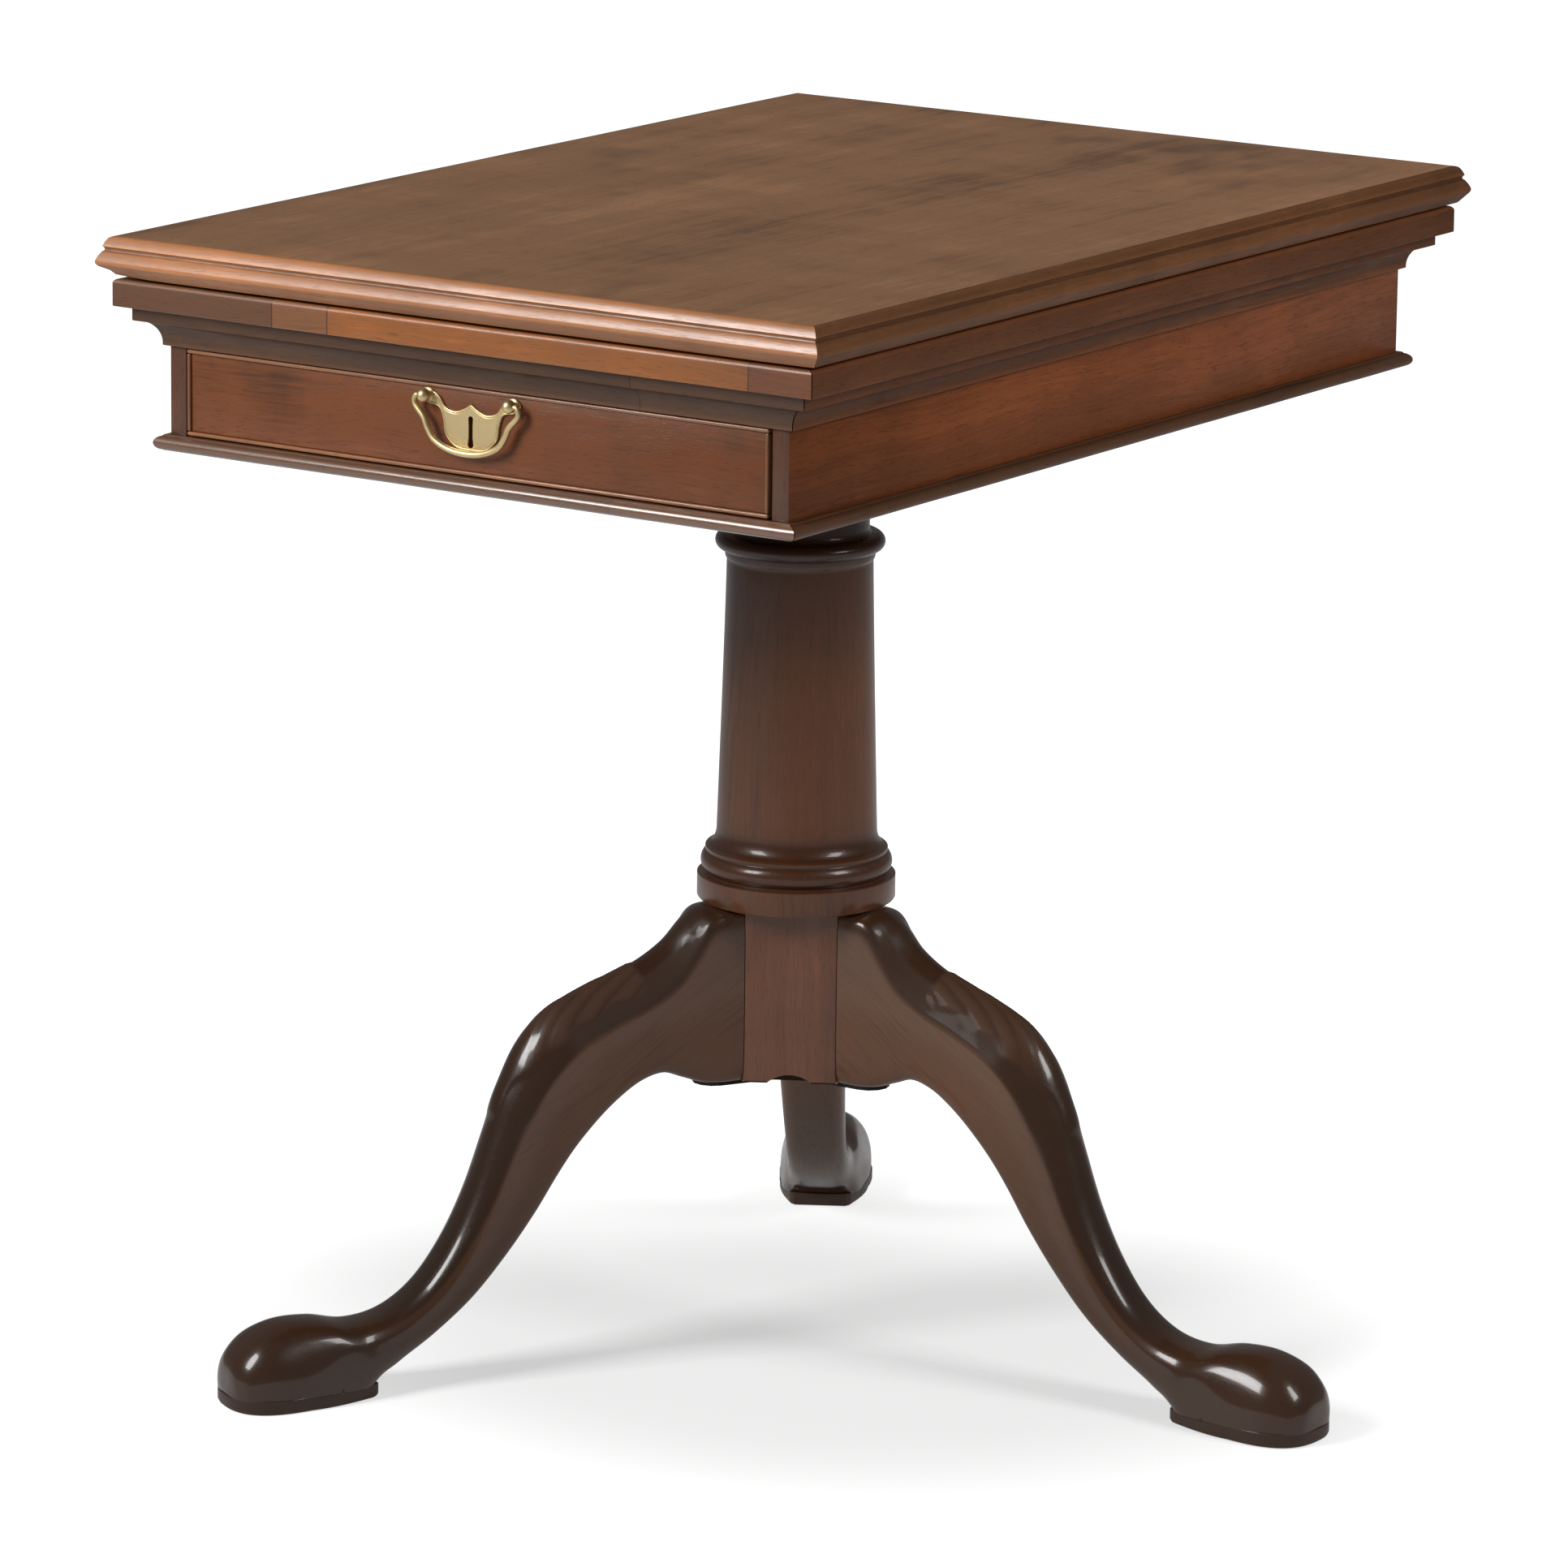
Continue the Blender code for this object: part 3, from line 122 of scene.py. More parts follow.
# Leg sections from block to toe: upper reach and height, lower reach and height, half width, squareness
# underneath, drop of the crowned upper face as a share of the half height, and share of crown against
# plain round
LEG_STATIONS = [
    (0.0462, 0.2877, 0.0462, 0.1753, 0.0220, 8.0, 0.06, 1.0),
    (0.0663, 0.2877, 0.0600, 0.1753, 0.0220, 8.0, 0.12, 1.0),
    (0.0778, 0.2807, 0.0720, 0.1765, 0.0220, 6.0, 0.30, 1.0),
    (0.0925, 0.2670, 0.0840, 0.1805, 0.0220, 5.0, 0.48, 1.0),
    (0.1140, 0.2545, 0.0980, 0.1850, 0.0220, 5.0, 0.62, 1.0),
    (0.1460, 0.2425, 0.1130, 0.1822, 0.0230, 5.5, 0.66, 1.0),
    (0.1725, 0.2298, 0.1270, 0.1745, 0.0245, 5.5, 0.64, 1.0),
    (0.1915, 0.2105, 0.1420, 0.1625, 0.0250, 5.5, 0.62, 1.0),
    (0.2042, 0.1842, 0.1575, 0.1455, 0.0240, 5.0, 0.64, 0.8),
    (0.2145, 0.1550, 0.1700, 0.1275, 0.0220, 4.6, 0.66, 0.5),
    (0.2270, 0.1205, 0.1850, 0.1045, 0.0210, 4.2, 0.70, 0.3),
    (0.2420, 0.0900, 0.2040, 0.0795, 0.0202, 3.8, 0.66, 0.1),
    (0.2610, 0.0650, 0.2265, 0.0545, 0.0196, 3.4, 0.60, 0.0),
    (0.2830, 0.0505, 0.2520, 0.0335, 0.0196, 3.0, 0.60, 0.0),
    (0.3070, 0.0465, 0.2760, 0.0185, 0.0212, 3.2, 0.60, 0.0),
    (0.3310, 0.0510, 0.2955, 0.0080, 0.0252, 5.0, 0.60, 0.0),
    (0.3530, 0.0515, 0.3203, -0.0275, 0.0296, 4.0, 0.60, 0.0),
    (0.3705, 0.0456, 0.3576, -0.0216, 0.0303, 4.0, 0.60, 0.0),
    (0.3820, 0.0360, 0.3781, -0.0120, 0.0250, 4.0, 0.60, 0.0),
    (0.3880, 0.0258, 0.3865, -0.0018, 0.0165, 4.0, 0.60, 0.0),
    (0.3894, 0.0140, 0.3894, 0.0100, 0.0060, 4.0, 0.60, 0.0),
]

# Outline of the handle's plate, right half from the lower middle up, as shares of POST_X and BAIL_DROP
PLATE_OUTLINE = [
    (0, -0.969), (0.357, -0.931), (0.601, -0.720), (0.666, -0.420), (0.763, -0.220), (1.032, -0.157),
    (1.162, 0), (1.032, 0.113), (0.773, 0.016), (0.601, -0.189), (0.373, -0.252), (0.162, -0.182),
    (0, -0.079),
]

FINISHES = {}


def colour_setting(name, description, default):
    return bpy.props.FloatVectorProperty(
        name=name, description=description, subtype="COLOR", min=0, max=1, default=default)


def share_setting(name, description, default):
    return bpy.props.FloatProperty(name=name, description=description, min=0, max=1, default=default)


def power_setting(name, description, default):
    return bpy.props.FloatProperty(name=name, description=description, unit="POWER", min=0, default=default)


class TableLook(bpy.types.PropertyGroup):
    """Colours and small sizes of the table's finish."""

    top_colour: colour_setting("Top", "Middle colour of the top's wood", (0.285, 0.138, 0.062))
    frieze_colour: colour_setting(
        "Frieze", "Middle colour of the box's boards and drawer front", (0.180, 0.058, 0.020))
    moulding_colour: colour_setting(
        "Mouldings", "Middle colour of the cornice and base mouldings", (0.240, 0.100, 0.044))
    column_colour: colour_setting("Column", "Middle colour of the turned column", (0.124, 0.043, 0.017))
    leg_colour: colour_setting("Legs", "Middle colour of the legs", (0.124, 0.055, 0.027))
    lining_colour: colour_setting(
        "Linings", "Middle colour of the oak inside the box and drawer", (0.40, 0.26, 0.14))
    brass_colour: colour_setting("Brass", "Colour of the clean brass", (0.72, 0.565, 0.30))
    iron_colour: colour_setting("Iron", "Colour of the forged iron", (0.050, 0.046, 0.042))
    edge_ease: bpy.props.FloatProperty(
        name="Edge ease", description="Rounding on the arrises of boards and mouldings", unit="LENGTH",
        min=0.0001, max=0.003, default=0.0007)
    carving_depth: bpy.props.FloatProperty(
        name="Carving depth", description="Relief of the carved knees", unit="LENGTH",
        min=0, max=0.004, default=0.0017)


class StageLook(bpy.types.PropertyGroup):
    """Light and floor of the studio."""

    left_power: power_setting("Left light", "Power of the soft light on the drawer end", 53.5)
    right_power: power_setting("Right light", "Power of the soft light on the long side", 21.5)
    fill: share_setting("Fill", "Strength of the even light from all round", 0.2)
    floor_glow: share_setting("Floor glow", "White added to the floor where the camera sees it", 0.42)
    mirrored: share_setting("Mirrored", "Strength of the backdrop in glossy wood and brass", 0.14)


# Modelling


def clear_selection():
    """Leaves edit mode with nothing selected."""
    if bpy.context.object and bpy.context.object.mode != "OBJECT":
        bpy.ops.object.mode_set(mode="OBJECT")
    bpy.ops.object.select_all(action="DESELECT")


def pick(piece):
    """Makes a piece the only one selected."""
    clear_selection()
    piece.select_set(True)
    bpy.context.view_layer.objects.active = piece


def named(name):
    piece = bpy.context.object
    piece.name = name
    piece.data.name = name
    return piece


def settle(piece, body, finish, stands_for=(), smooth=32):
    """Puts a piece's place into its mesh, shades it, gives it its finish and lets it ride on its body."""
    pick(piece)
    bpy.ops.object.transform_apply(location=True, rotation=True, scale=True)
    bpy.ops.object.shade_smooth_by_angle(angle=math.radians(smooth))
    piece.data.materials.clear()
    piece.data.materials.append(finish)
    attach(piece, body)
    if stands_for:
        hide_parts(*stands_for)
    return piece


def outward(piece):
    """Merges doubles, turns all faces outwards and leaves edit mode."""
    bpy.ops.mesh.select_all(action="SELECT")
    bpy.ops.mesh.remove_doubles(threshold=0.000001)
    bpy.ops.mesh.normals_make_consistent(inside=False)
    bpy.ops.object.mode_set(mode="OBJECT")
    return piece


def sweep(name, rings):
    """A piece drawn out from its first outline through the others, closed at both ends."""
    clear_selection()
    bpy.ops.mesh.primitive_circle_add(
        vertices=len(rings[0]), radius=0.01, fill_type="NGON", enter_editmode=True, location=(0, 0, 0))
    piece = named(name)
    form = bmesh.from_edit_mesh(piece.data)
    for vert, place in zip(form.verts, rings[0]):
        vert.co = place
    for before, ring in zip(rings, rings[1:]):
        numbers = outline_numbers(form, before)
        bpy.ops.mesh.extrude_region_move()
        form = bmesh.from_edit_mesh(piece.data)
        for vert in form.verts:
            if vert.select:
                vert.co = ring[numbers[tuple(vert.co)]]
    bmesh.update_edit_mesh(piece.data)
    return outward(piece)


def outline_numbers(form, outline):
    """Which point of an outline each selected vert lies on, listed by the vert's place."""

    def rounded(place):
        return tuple(round(part, 6) for part in place)

    numbers = {rounded(place): number for number, place in enumerate(outline)}
    return {tuple(vert.co): numbers[rounded(vert.co)] for vert in form.verts if vert.select}


def board(name, low, high, ease, segments=2):
    """A board between two corners, with its arrises eased."""
    clear_selection()
    low, high = Vector(low), Vector(high)
    bpy.ops.mesh.primitive_cube_add(size=1, location=(low + high) / 2, scale=high - low)
    piece = named(name)
    bpy.ops.object.transform_apply(location=True, rotation=True, scale=True)
    bpy.ops.object.mode_set(mode="EDIT")
    bpy.ops.mesh.select_all(action="SELECT")
    bpy.ops.mesh.bevel(offset=ease, segments=segments, profile=0.5, affect="EDGES")
    return outward(piece)


def turned(name, profile, steps=96):
    """A piece turned on a lathe about Z from its (radius, height) profile."""
    clear_selection()
    bpy.ops.mesh.primitive_circle_add(
        vertices=len(profile), radius=0.01, fill_type="NOTHING", enter_editmode=True, location=(0, 0, 0))
    piece = named(name)
    form = bmesh.from_edit_mesh(piece.data)
    form.verts.ensure_lookup_table()
    for vert, (r, z) in zip(form.verts, profile):
        vert.co = (r, 0, z)
    ends = {form.verts[0], form.verts[len(profile) - 1]}
    closing = next(edge for edge in form.edges if set(edge.verts) == ends)
    form.edges.remove(closing)
    bmesh.update_edit_mesh(piece.data)
    bpy.ops.mesh.select_all(action="SELECT")
    bpy.ops.mesh.spin(steps=steps, angle=math.tau, center=(0, 0, 0), axis=(0, 0, 1), dupli=False)
    return outward(piece)


def cut(piece, cutter):
    """Cuts one piece out of another and removes the cutter."""
    pick(piece)
    step = piece.modifiers.new("cut", "BOOLEAN")
    step.operation = "DIFFERENCE"
    step.solver = "EXACT"
    step.object = cutter
    bpy.ops.object.modifier_apply(modifier=step.name)
    bpy.data.objects.remove(cutter)


def joined(piece, *others):
    """Joins other pieces into the first one."""
    pick(piece)
    for other in others:
        other.select_set(True)
    bpy.ops.object.join()
    return piece


def arc(centre, reach, start, end, count):
    """Points of (across, up) on an ellipse, with its angles in degrees."""
    across, up = reach
    angles = [math.radians(start + (end - start) * i / (count - 1)) for i in range(count)]
    return [(centre[0] + across * math.cos(a), centre[1] + up * math.sin(a)) for a in angles]


def eased(corners, radius, steps):
    """A closed outline with its sharp corners rounded, by less where their sides are short."""
    points = []
    count = len(corners)
    for i, corner in enumerate(corners):
        here = Vector(corner)
        into = Vector(corners[i - 1]) - here
        out = Vector(corners[(i + 1) % count]) - here
        tiny = min(into.length, out.length) < 1e-7
        if tiny or math.pi - into.angle(out) < math.radians(28):
            points.append(tuple(here))
            continue
        start = here + into.normalized() * min(radius, into.length * 0.4)
        end = here + out.normalized() * min(radius, out.length * 0.4)
        for k in range(steps + 1):
            t = k / steps
            points.append(tuple(start * (1 - t) ** 2 + here * 2 * t * (1 - t) + end * t ** 2))
    return points


def smooth_path(points, steps):
    """A smooth curve through points of any size."""
    fine = []
    count = len(points)
    for i in range(count - 1):
        before, here, after = points[max(i - 1, 0)], points[i], points[i + 1]
        later = points[min(i + 2, count - 1)]
        for k in range(steps):
            t = k / steps
            place = []
            for a, b, c, d in zip(before, here, after, later):
                slope_here, slope_after = (c - a) / 2, (d - b) / 2
                cubic = 2 * (b - c) + slope_here + slope_after
                square = 3 * (c - b) - 2 * slope_here - slope_after
                place.append(((cubic * t + square) * t + slope_here) * t + b)
            fine.append(tuple(place))
    fine.append(tuple(points[-1]))
    return fine


def hollowness(profile, window=0.003):
    """How hollow (above 0) or proud (below 0) each point of a closed outline is within its neighbourhood."""
    points = np.array(profile, float)
    across, up = points.T
    area = 0.5 * np.sum(across * np.roll(up, -1) - np.roll(across, -1) * up)
    inside = np.sign(area)
    values = []
    for here in points:
        near = points[np.hypot(*(points - here).T) < window]
        lean = here - near.mean(0)
        tangent = near[-1] - near[0]
        normal = np.array([tangent[1], -tangent[0]]) * inside
        length = np.hypot(*normal)
        values.append(0.0 if length < 1e-9 else float(-(lean @ normal) / length / window))
    return np.clip(np.array(values) * 6.0, -1, 1)


def paint_age(piece, places, profile, values):
    """Stores each vertex's age, from the nearest point of the profile that it lies on."""
    points = np.array(profile, float)
    ages = np.empty(len(places), np.float32)
    for i, place in enumerate(places):
        ages[i] = values[np.argmin(((points - place) ** 2).sum(1))]
    store(piece, "age", "FLOAT", ages)


def store(piece, name, kind, values):
    layer = piece.data.attributes.get(name) or piece.data.attributes.new(name, kind, "POINT")
    field = "vector" if kind == "FLOAT_VECTOR" else "value"
    layer.data.foreach_set(field, np.asarray(values, np.float32).ravel())


def coordinates(piece):
    places = np.empty(len(piece.data.vertices) * 3, np.float32)
    piece.data.vertices.foreach_get("co", places)
    return places.reshape(-1, 3)


def wobble(piece, amount, scale, along=(1, 1, 1)):
    """Moves a piece's points a little, as hand planing and old age leave them."""
    noise.seed_set(WOBBLE_SEED)
    for vert in piece.data.vertices:
        shift = noise.noise_vector(vert.co * scale) * amount
        vert.co += Vector((shift.x * along[0], shift.y * along[1], shift.z * along[2]))


# Finishes


def node(tree, kind, inputs=None, **settings):
    """Adds a node with its settings, and links or sets its inputs."""
    made = tree.nodes.new(kind)
    for key, value in settings.items():
        setattr(made, key, value)
    for key, value in (inputs or {}).items():
        if isinstance(value, bpy.types.NodeSocket):
            tree.links.new(value, made.inputs[key])
        else:
            made.inputs[key].default_value = value
    return made


def mix(tree, factor, first, second, blend="MIX"):
    """Mixes two colours."""
    made = node(tree, "ShaderNodeMix", data_type="RGBA", blend_type=blend, clamp_factor=True)
    for number, value in ((0, factor), (6, first), (7, second)):
        if isinstance(value, bpy.types.NodeSocket):
            tree.links.new(value, made.inputs[number])
        else:
            made.inputs[number].default_value = value
    return made.outputs[2]


def calc(tree, operation, first, second=0.0, clamp=False):
    made = node(tree, "ShaderNodeMath", {0: first, 1: second}, operation=operation, use_clamp=clamp)
    return made.outputs[0]


def span(tree, value, low, high, start=0.0, end=1.0):
    """Maps a value's range to another, held at both ends."""
    made = node(tree, "ShaderNodeMapRange", {
        "Value": value, "From Min": low, "From Max": high, "To Min": start, "To Max": end,
    }, interpolation_type="SMOOTHSTEP")
    return made.outputs[0]


def vector_calc(tree, operation, first, second):
    return node(tree, "ShaderNodeVectorMath", {0: first, 1: second}, operation=operation).outputs[0]


def stored_value(tree, name):
    """A value that a piece keeps for each of its points."""
    return node(tree, "ShaderNodeAttribute", attribute_name=name).outputs["Fac"]


def object_place(tree, axis):
    """One of the Object coordinates."""
    where = node(tree, "ShaderNodeTexCoord").outputs["Object"]
    return node(tree, "ShaderNodeSeparateXYZ", {"Vector": where}).outputs[axis]


def clouds(tree, place, scale, detail=3.0, roughness=0.55):
    """Noise on coordinates that are stretched by a scale along each axis."""
    stretched = node(tree, "ShaderNodeMapping", {"Vector": place, "Scale": scale}).outputs[0]
    inputs = {"Vector": stretched, "Scale": 1.0, "Detail": detail, "Roughness": roughness}
    return node(tree, "ShaderNodeTexNoise", inputs).outputs["Fac"]


def group(name, inputs, outputs):
    """A new shader node group with its sockets, and its input and output nodes."""
    tree = bpy.data.node_groups.new(name, "ShaderNodeTree")
    kinds = {"value": "NodeSocketFloat", "colour": "NodeSocketColor", "vector": "NodeSocketVector"}
    for label, kind in inputs:
        tree.interface.new_socket(label, in_out="INPUT", socket_type=kinds[kind])
    for label, kind in outputs:
        tree.interface.new_socket(label, in_out="OUTPUT", socket_type=kinds[kind])
    return tree, tree.nodes.new("NodeGroupInput").outputs, tree.nodes.new("NodeGroupOutput").inputs


def wood_figure():
    """Streaks, mottle, fibres and open pores of mahogany, with its grain along X."""
    if "wood_figure" in bpy.data.node_groups:
        return bpy.data.node_groups["wood_figure"]
    tree, given, made = group(
        "wood_figure",
        [("Place", "vector"), ("Dark", "colour"), ("Middle", "colour"), ("Light", "colour"),
         ("Streaks", "value"), ("Mottle", "value"), ("Pores", "value")],
        [("Colour", "colour"), ("Tone", "value"), ("Height", "value")])
    sway = node(tree, "ShaderNodeTexNoise", {"Vector": given["Place"], "Scale": 5.0, "Detail": 2.0})
    shift = vector_calc(tree, "SUBTRACT", sway.outputs["Color"], (0.5, 0.5, 0.5))
    shift = vector_calc(tree, "MULTIPLY", shift, (0.0, 0.022, 0.022))
    place = vector_calc(tree, "ADD", given["Place"], shift)
    streaks = clouds(tree, place, (1.8, 46, 46), 6.0, 0.62)
    bands = clouds(tree, place, (0.9, 15, 15), 3.0, 0.5)
    mottle = clouds(tree, given["Place"], (15, 7, 7), 3.0, 0.55)
    fibres = clouds(tree, place, (16, 520, 520), 3.0, 0.6)
    dashes = clouds(tree, place, (95, 1500, 1500), 1.0, 0.5)
    pores = span(tree, dashes, 0.60, 0.70)
    tone = 0.5
    patterns = ((streaks, given["Streaks"]), (bands, given["Streaks"]),
                (mottle, given["Mottle"]), (fibres, 0.5))
    for pattern, amount in patterns:
        share = calc(tree, "MULTIPLY", calc(tree, "SUBTRACT", pattern, 0.5), amount)
        tone = calc(tree, "ADD", share, tone)
    colour = mix(tree, span(tree, tone, 0.12, 0.5), given["Dark"], given["Middle"])
    colour = mix(tree, span(tree, tone, 0.5, 0.92), colour, given["Light"])
    pore_mask = calc(tree, "MULTIPLY", pores, given["Pores"])
    colour = mix(tree, pore_mask, colour, given["Dark"])
    height = calc(tree, "SUBTRACT", calc(tree, "MULTIPLY", fibres, 0.35), pore_mask)
    for socket, value in zip(made, (colour, tone, height)):
        tree.links.new(value, socket)
    return tree


def wear_and_dirt():
    """Dark wax in hollows and pale wear on arrises, broken up by noise, with their change of roughness."""
    if "wear_and_dirt" in bpy.data.node_groups:
        return bpy.data.node_groups["wear_and_dirt"]
    tree, given, made = group(
        "wear_and_dirt",
        [("Colour", "colour"), ("Place", "vector"), ("Age", "value"), ("Dirt", "colour"),
         ("Worn", "colour"), ("Dirt amount", "value"), ("Wear amount", "value")],
        [("Colour", "colour"), ("Roughness", "value")])
    broken = clouds(tree, given["Place"], (60, 60, 60), 4.0, 0.6)
    patches = clouds(tree, given["Place"], (9, 9, 9), 3.0, 0.55)
    shade = calc(tree, "ADD", calc(tree, "MULTIPLY", broken, 0.7), calc(tree, "MULTIPLY", patches, 0.7))
    hollow = calc(tree, "MULTIPLY", calc(tree, "MAXIMUM", given["Age"], 0.0), shade)
    worn = calc(tree, "MAXIMUM", calc(tree, "MULTIPLY", given["Age"], -1.0), 0.0)
    proud = calc(tree, "MULTIPLY", worn, shade)
    dirt = calc(tree, "MULTIPLY", hollow, given["Dirt amount"], True)
    wear = calc(tree, "MULTIPLY", proud, given["Wear amount"], True)
    colour = mix(tree, dirt, given["Colour"], given["Dirt"])
    colour = mix(tree, wear, colour, given["Worn"])
    roughness = calc(tree, "ADD", calc(tree, "MULTIPLY", dirt, 0.22),
                     calc(tree, "MULTIPLY", calc(tree, "SUBTRACT", patches, 0.5), 0.16))
    for socket, value in zip(made, (colour, roughness)):
        tree.links.new(value, socket)
    return tree


def stains():
    """Soft dark patches of ink, water and old polish."""
    if "stains" in bpy.data.node_groups:
        return bpy.data.node_groups["stains"]
    tree, given, made = group(
        "stains",
        [("Place", "vector"), ("Colour", "colour"), ("Stain", "colour"), ("Amount", "value")],
        [("Colour", "colour")])
    large = span(tree, clouds(tree, given["Place"], (5.5, 8, 8), 3.0, 0.6), 0.54, 0.74)
    small = span(tree, clouds(tree, given["Place"], (26, 34, 34), 3.0, 0.6), 0.60, 0.78)
    mask = calc(tree, "MULTIPLY", calc(tree, "MAXIMUM", large, calc(tree, "MULTIPLY", small, 0.6)),
                given["Amount"], True)
    tree.links.new(mix(tree, mask, given["Colour"], given["Stain"]), made["Colour"])
    return tree


def placed(tree, grain, seed, attribute=None):
    """Coordinates with the grain along X: Object ones, or the piece's own attribute."""
    turns = {"X": (0, 0, 0), "Y": (0, 0, -math.pi / 2), "Z": (0, math.pi / 2, 0)}
    if attribute:
        source = node(tree, "ShaderNodeAttribute", attribute_name=attribute).outputs["Vector"]
    else:
        source = node(tree, "ShaderNodeTexCoord").outputs["Object"]
    shift = (0.37 * seed, 0.61 * seed, 0.23 * seed)
    inputs = {"Vector": source, "Rotation": turns[grain], "Location": shift}
    return node(tree, "ShaderNodeMapping", inputs).outputs[0]


def toned(colour, factor, warm=1.0):
    """A colour made darker or lighter, and its red kept more than its blue."""
    return (colour[0] * factor * warm, colour[1] * factor, colour[2] * factor / warm)


def shade_of(colour, factor, warm=1.0):
    """A toned colour as a socket takes it."""
    return (*toned(colour, factor, warm), 1.0)


def new_finish(name):
    """A new material with its node tree and shader, listed by its name."""
    made = bpy.data.materials.new(name)
    made.use_nodes = True
    FINISHES[name] = made
    return made, made.node_tree, made.node_tree.nodes["Principled BSDF"]


def mahogany(name, colour, grain="X", seed=0.0, streaks=0.75, mottle=0.5, pores=0.55, stain=0.0, dirt=0.8,
             wear=0.35, roughness=0.34, spread=0.18, coat=0.25, coat_roughness=0.16, bump=0.22, dark=0.42,
             light=1.55, shine=0.5, attribute=None, lengths=None, fade=None, dulled=False):
    """A mahogany finish.

    Lengths are (start along the grain, tint) where a strip is pieced; the lighter length on the base
    moulding's front is a painted highlight. Fade is (axis, start, end, factor) where the tone changes slowly
    along a piece;
    on the column, the box's sides and the legs it is painted shade. A piece's stored shade darkens it:
    painted shade on the legs and the column's neck. A dulled piece stores how dull each of its points is.
    """
    if name in FINISHES:
        return FINISHES[name]
    made, tree, shader = new_finish(name)
    place = placed(tree, grain, seed, attribute)
    figure = node(tree, "ShaderNodeGroup", {
        "Place": place, "Dark": shade_of(colour, dark, 0.97), "Middle": shade_of(colour, 1.0),
        "Light": shade_of(colour, light, 1.04), "Streaks": streaks, "Mottle": mottle, "Pores": pores,
    }, node_tree=wood_figure())
    shown = figure.outputs["Colour"]
    if lengths:
        shown = pieced(tree, shown, grain, lengths)
    if fade:
        axis, start, end, factor = fade
        share = span(tree, object_place(tree, axis), start, end)
        shown = mix(tree, share, shown, (factor, factor, factor, 1), "MULTIPLY")
    if stain:
        spots = node(tree, "ShaderNodeGroup", {
            "Place": place, "Colour": shown, "Stain": shade_of(colour, 0.36, 0.95), "Amount": stain,
        }, node_tree=stains())
        shown = spots.outputs["Colour"]
    aged = node(tree, "ShaderNodeGroup", {
        "Colour": shown, "Place": place, "Age": stored_value(tree, "age"),
        "Dirt": shade_of(colour, 0.22, 0.92), "Worn": shade_of(colour, 1.9, 1.02),
        "Dirt amount": dirt, "Wear amount": wear,
    }, node_tree=wear_and_dirt())
    # Where a piece stores shade, this dark colour is mixed in: painted shade.
    painted_shade_colour = shade_of(colour, 0.2, 0.95)
    shown = mix(tree, stored_value(tree, "shade"), aged.outputs["Colour"], painted_shade_colour)
    tree.links.new(shown, shader.inputs["Base Color"])
    rough = span(tree, figure.outputs["Tone"], 0.2, 0.8, roughness + spread / 2, roughness - spread / 2)
    rough = calc(tree, "ADD", rough, aged.outputs["Roughness"], True)
    shader.inputs["Coat Weight"].default_value = coat
    if dulled:
        dull = stored_value(tree, "dull")
        rough = calc(tree, "ADD", rough, calc(tree, "MULTIPLY", dull, 0.45), True)
        polish = calc(tree, "MULTIPLY", calc(tree, "SUBTRACT", 1.0, dull), coat)
        tree.links.new(polish, shader.inputs["Coat Weight"])
    tree.links.new(rough, shader.inputs["Roughness"])
    shader.inputs["Specular IOR Level"].default_value = shine
    shader.inputs["Coat Roughness"].default_value = coat_roughness
    inputs = {"Height": figure.outputs["Height"], "Strength": bump, "Distance": 0.0006}
    tree.links.new(node(tree, "ShaderNodeBump", inputs).outputs["Normal"], shader.inputs["Normal"])
    return made


def pieced(tree, colour, grain, lengths):
    """Tinted lengths along a strip, with dark joints: pieced wood, and a painted highlight on the base front.
    """
    along = object_place(tree, grain)
    for start, tint in lengths:
        past = calc(tree, "GREATER_THAN", along, start)
        tinted = mix(tree, 1.0, colour, (*tint, 1.0), "MULTIPLY")
        colour = mix(tree, past, colour, tinted)
        away = calc(tree, "ABSOLUTE", calc(tree, "SUBTRACT", along, start))
        gap = calc(tree, "MULTIPLY", calc(tree, "LESS_THAN", away, 0.0004), 0.75)
        colour = mix(tree, gap, colour, (0.012, 0.007, 0.005, 1))
    return colour


def lining(name, colour, grain="Y", seed=0.0):
    """Unpolished oak, pale and dusty, with open grain."""
    return mahogany(name, colour, grain, seed, streaks=0.9, mottle=0.25, pores=0.85, dirt=0.9, wear=0.0,
                    stain=0.35, roughness=0.68, spread=0.14, coat=0.0, bump=0.5, dark=0.55, light=1.25)


def metal(name, colour, tarnish, roughness=0.3, dark=0.35, hammered=0.15):
    """Old metal: brighter where it is handled, with tarnish in patches and hollows."""
    if name in FINISHES:
        return FINISHES[name]
    made, tree, shader = new_finish(name)
    place = placed(tree, "X", 0.0)
    patches = clouds(tree, place, (70, 70, 70), 4.0, 0.6)
    specks = clouds(tree, place, (420, 420, 420), 3.0, 0.6)
    spots = calc(tree, "ADD", patches, calc(tree, "MULTIPLY", specks, 0.35))
    hollows = calc(tree, "MULTIPLY", stored_value(tree, "age"), 0.35)
    mask = span(tree, calc(tree, "ADD", spots, hollows), 0.55, 0.95, 0.0, tarnish)
    shown = mix(tree, mask, (*colour, 1.0), shade_of(colour, dark, 1.02))
    tree.links.new(shown, shader.inputs["Base Color"])
    tree.links.new(span(tree, mask, 0.0, 1.0, roughness, roughness + 0.3), shader.inputs["Roughness"])
    shader.inputs["Metallic"].default_value = 1.0
    inputs = {"Height": specks, "Strength": hammered, "Distance": 0.0003}
    tree.links.new(node(tree, "ShaderNodeBump", inputs).outputs["Normal"], shader.inputs["Normal"])
    return made


def dull_brass():
    return metal("dull_brass", toned(look().brass_colour, 0.75), 0.8, roughness=0.38)


def look():
    return bpy.context.scene.table_look


def refinish(finish, *names):
    """Gives CAD solids that stay in view a better finish."""
    for name in names:
        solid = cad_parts[name]
        solid.data.materials.clear()
        solid.data.materials.append(finish)


# Pieces


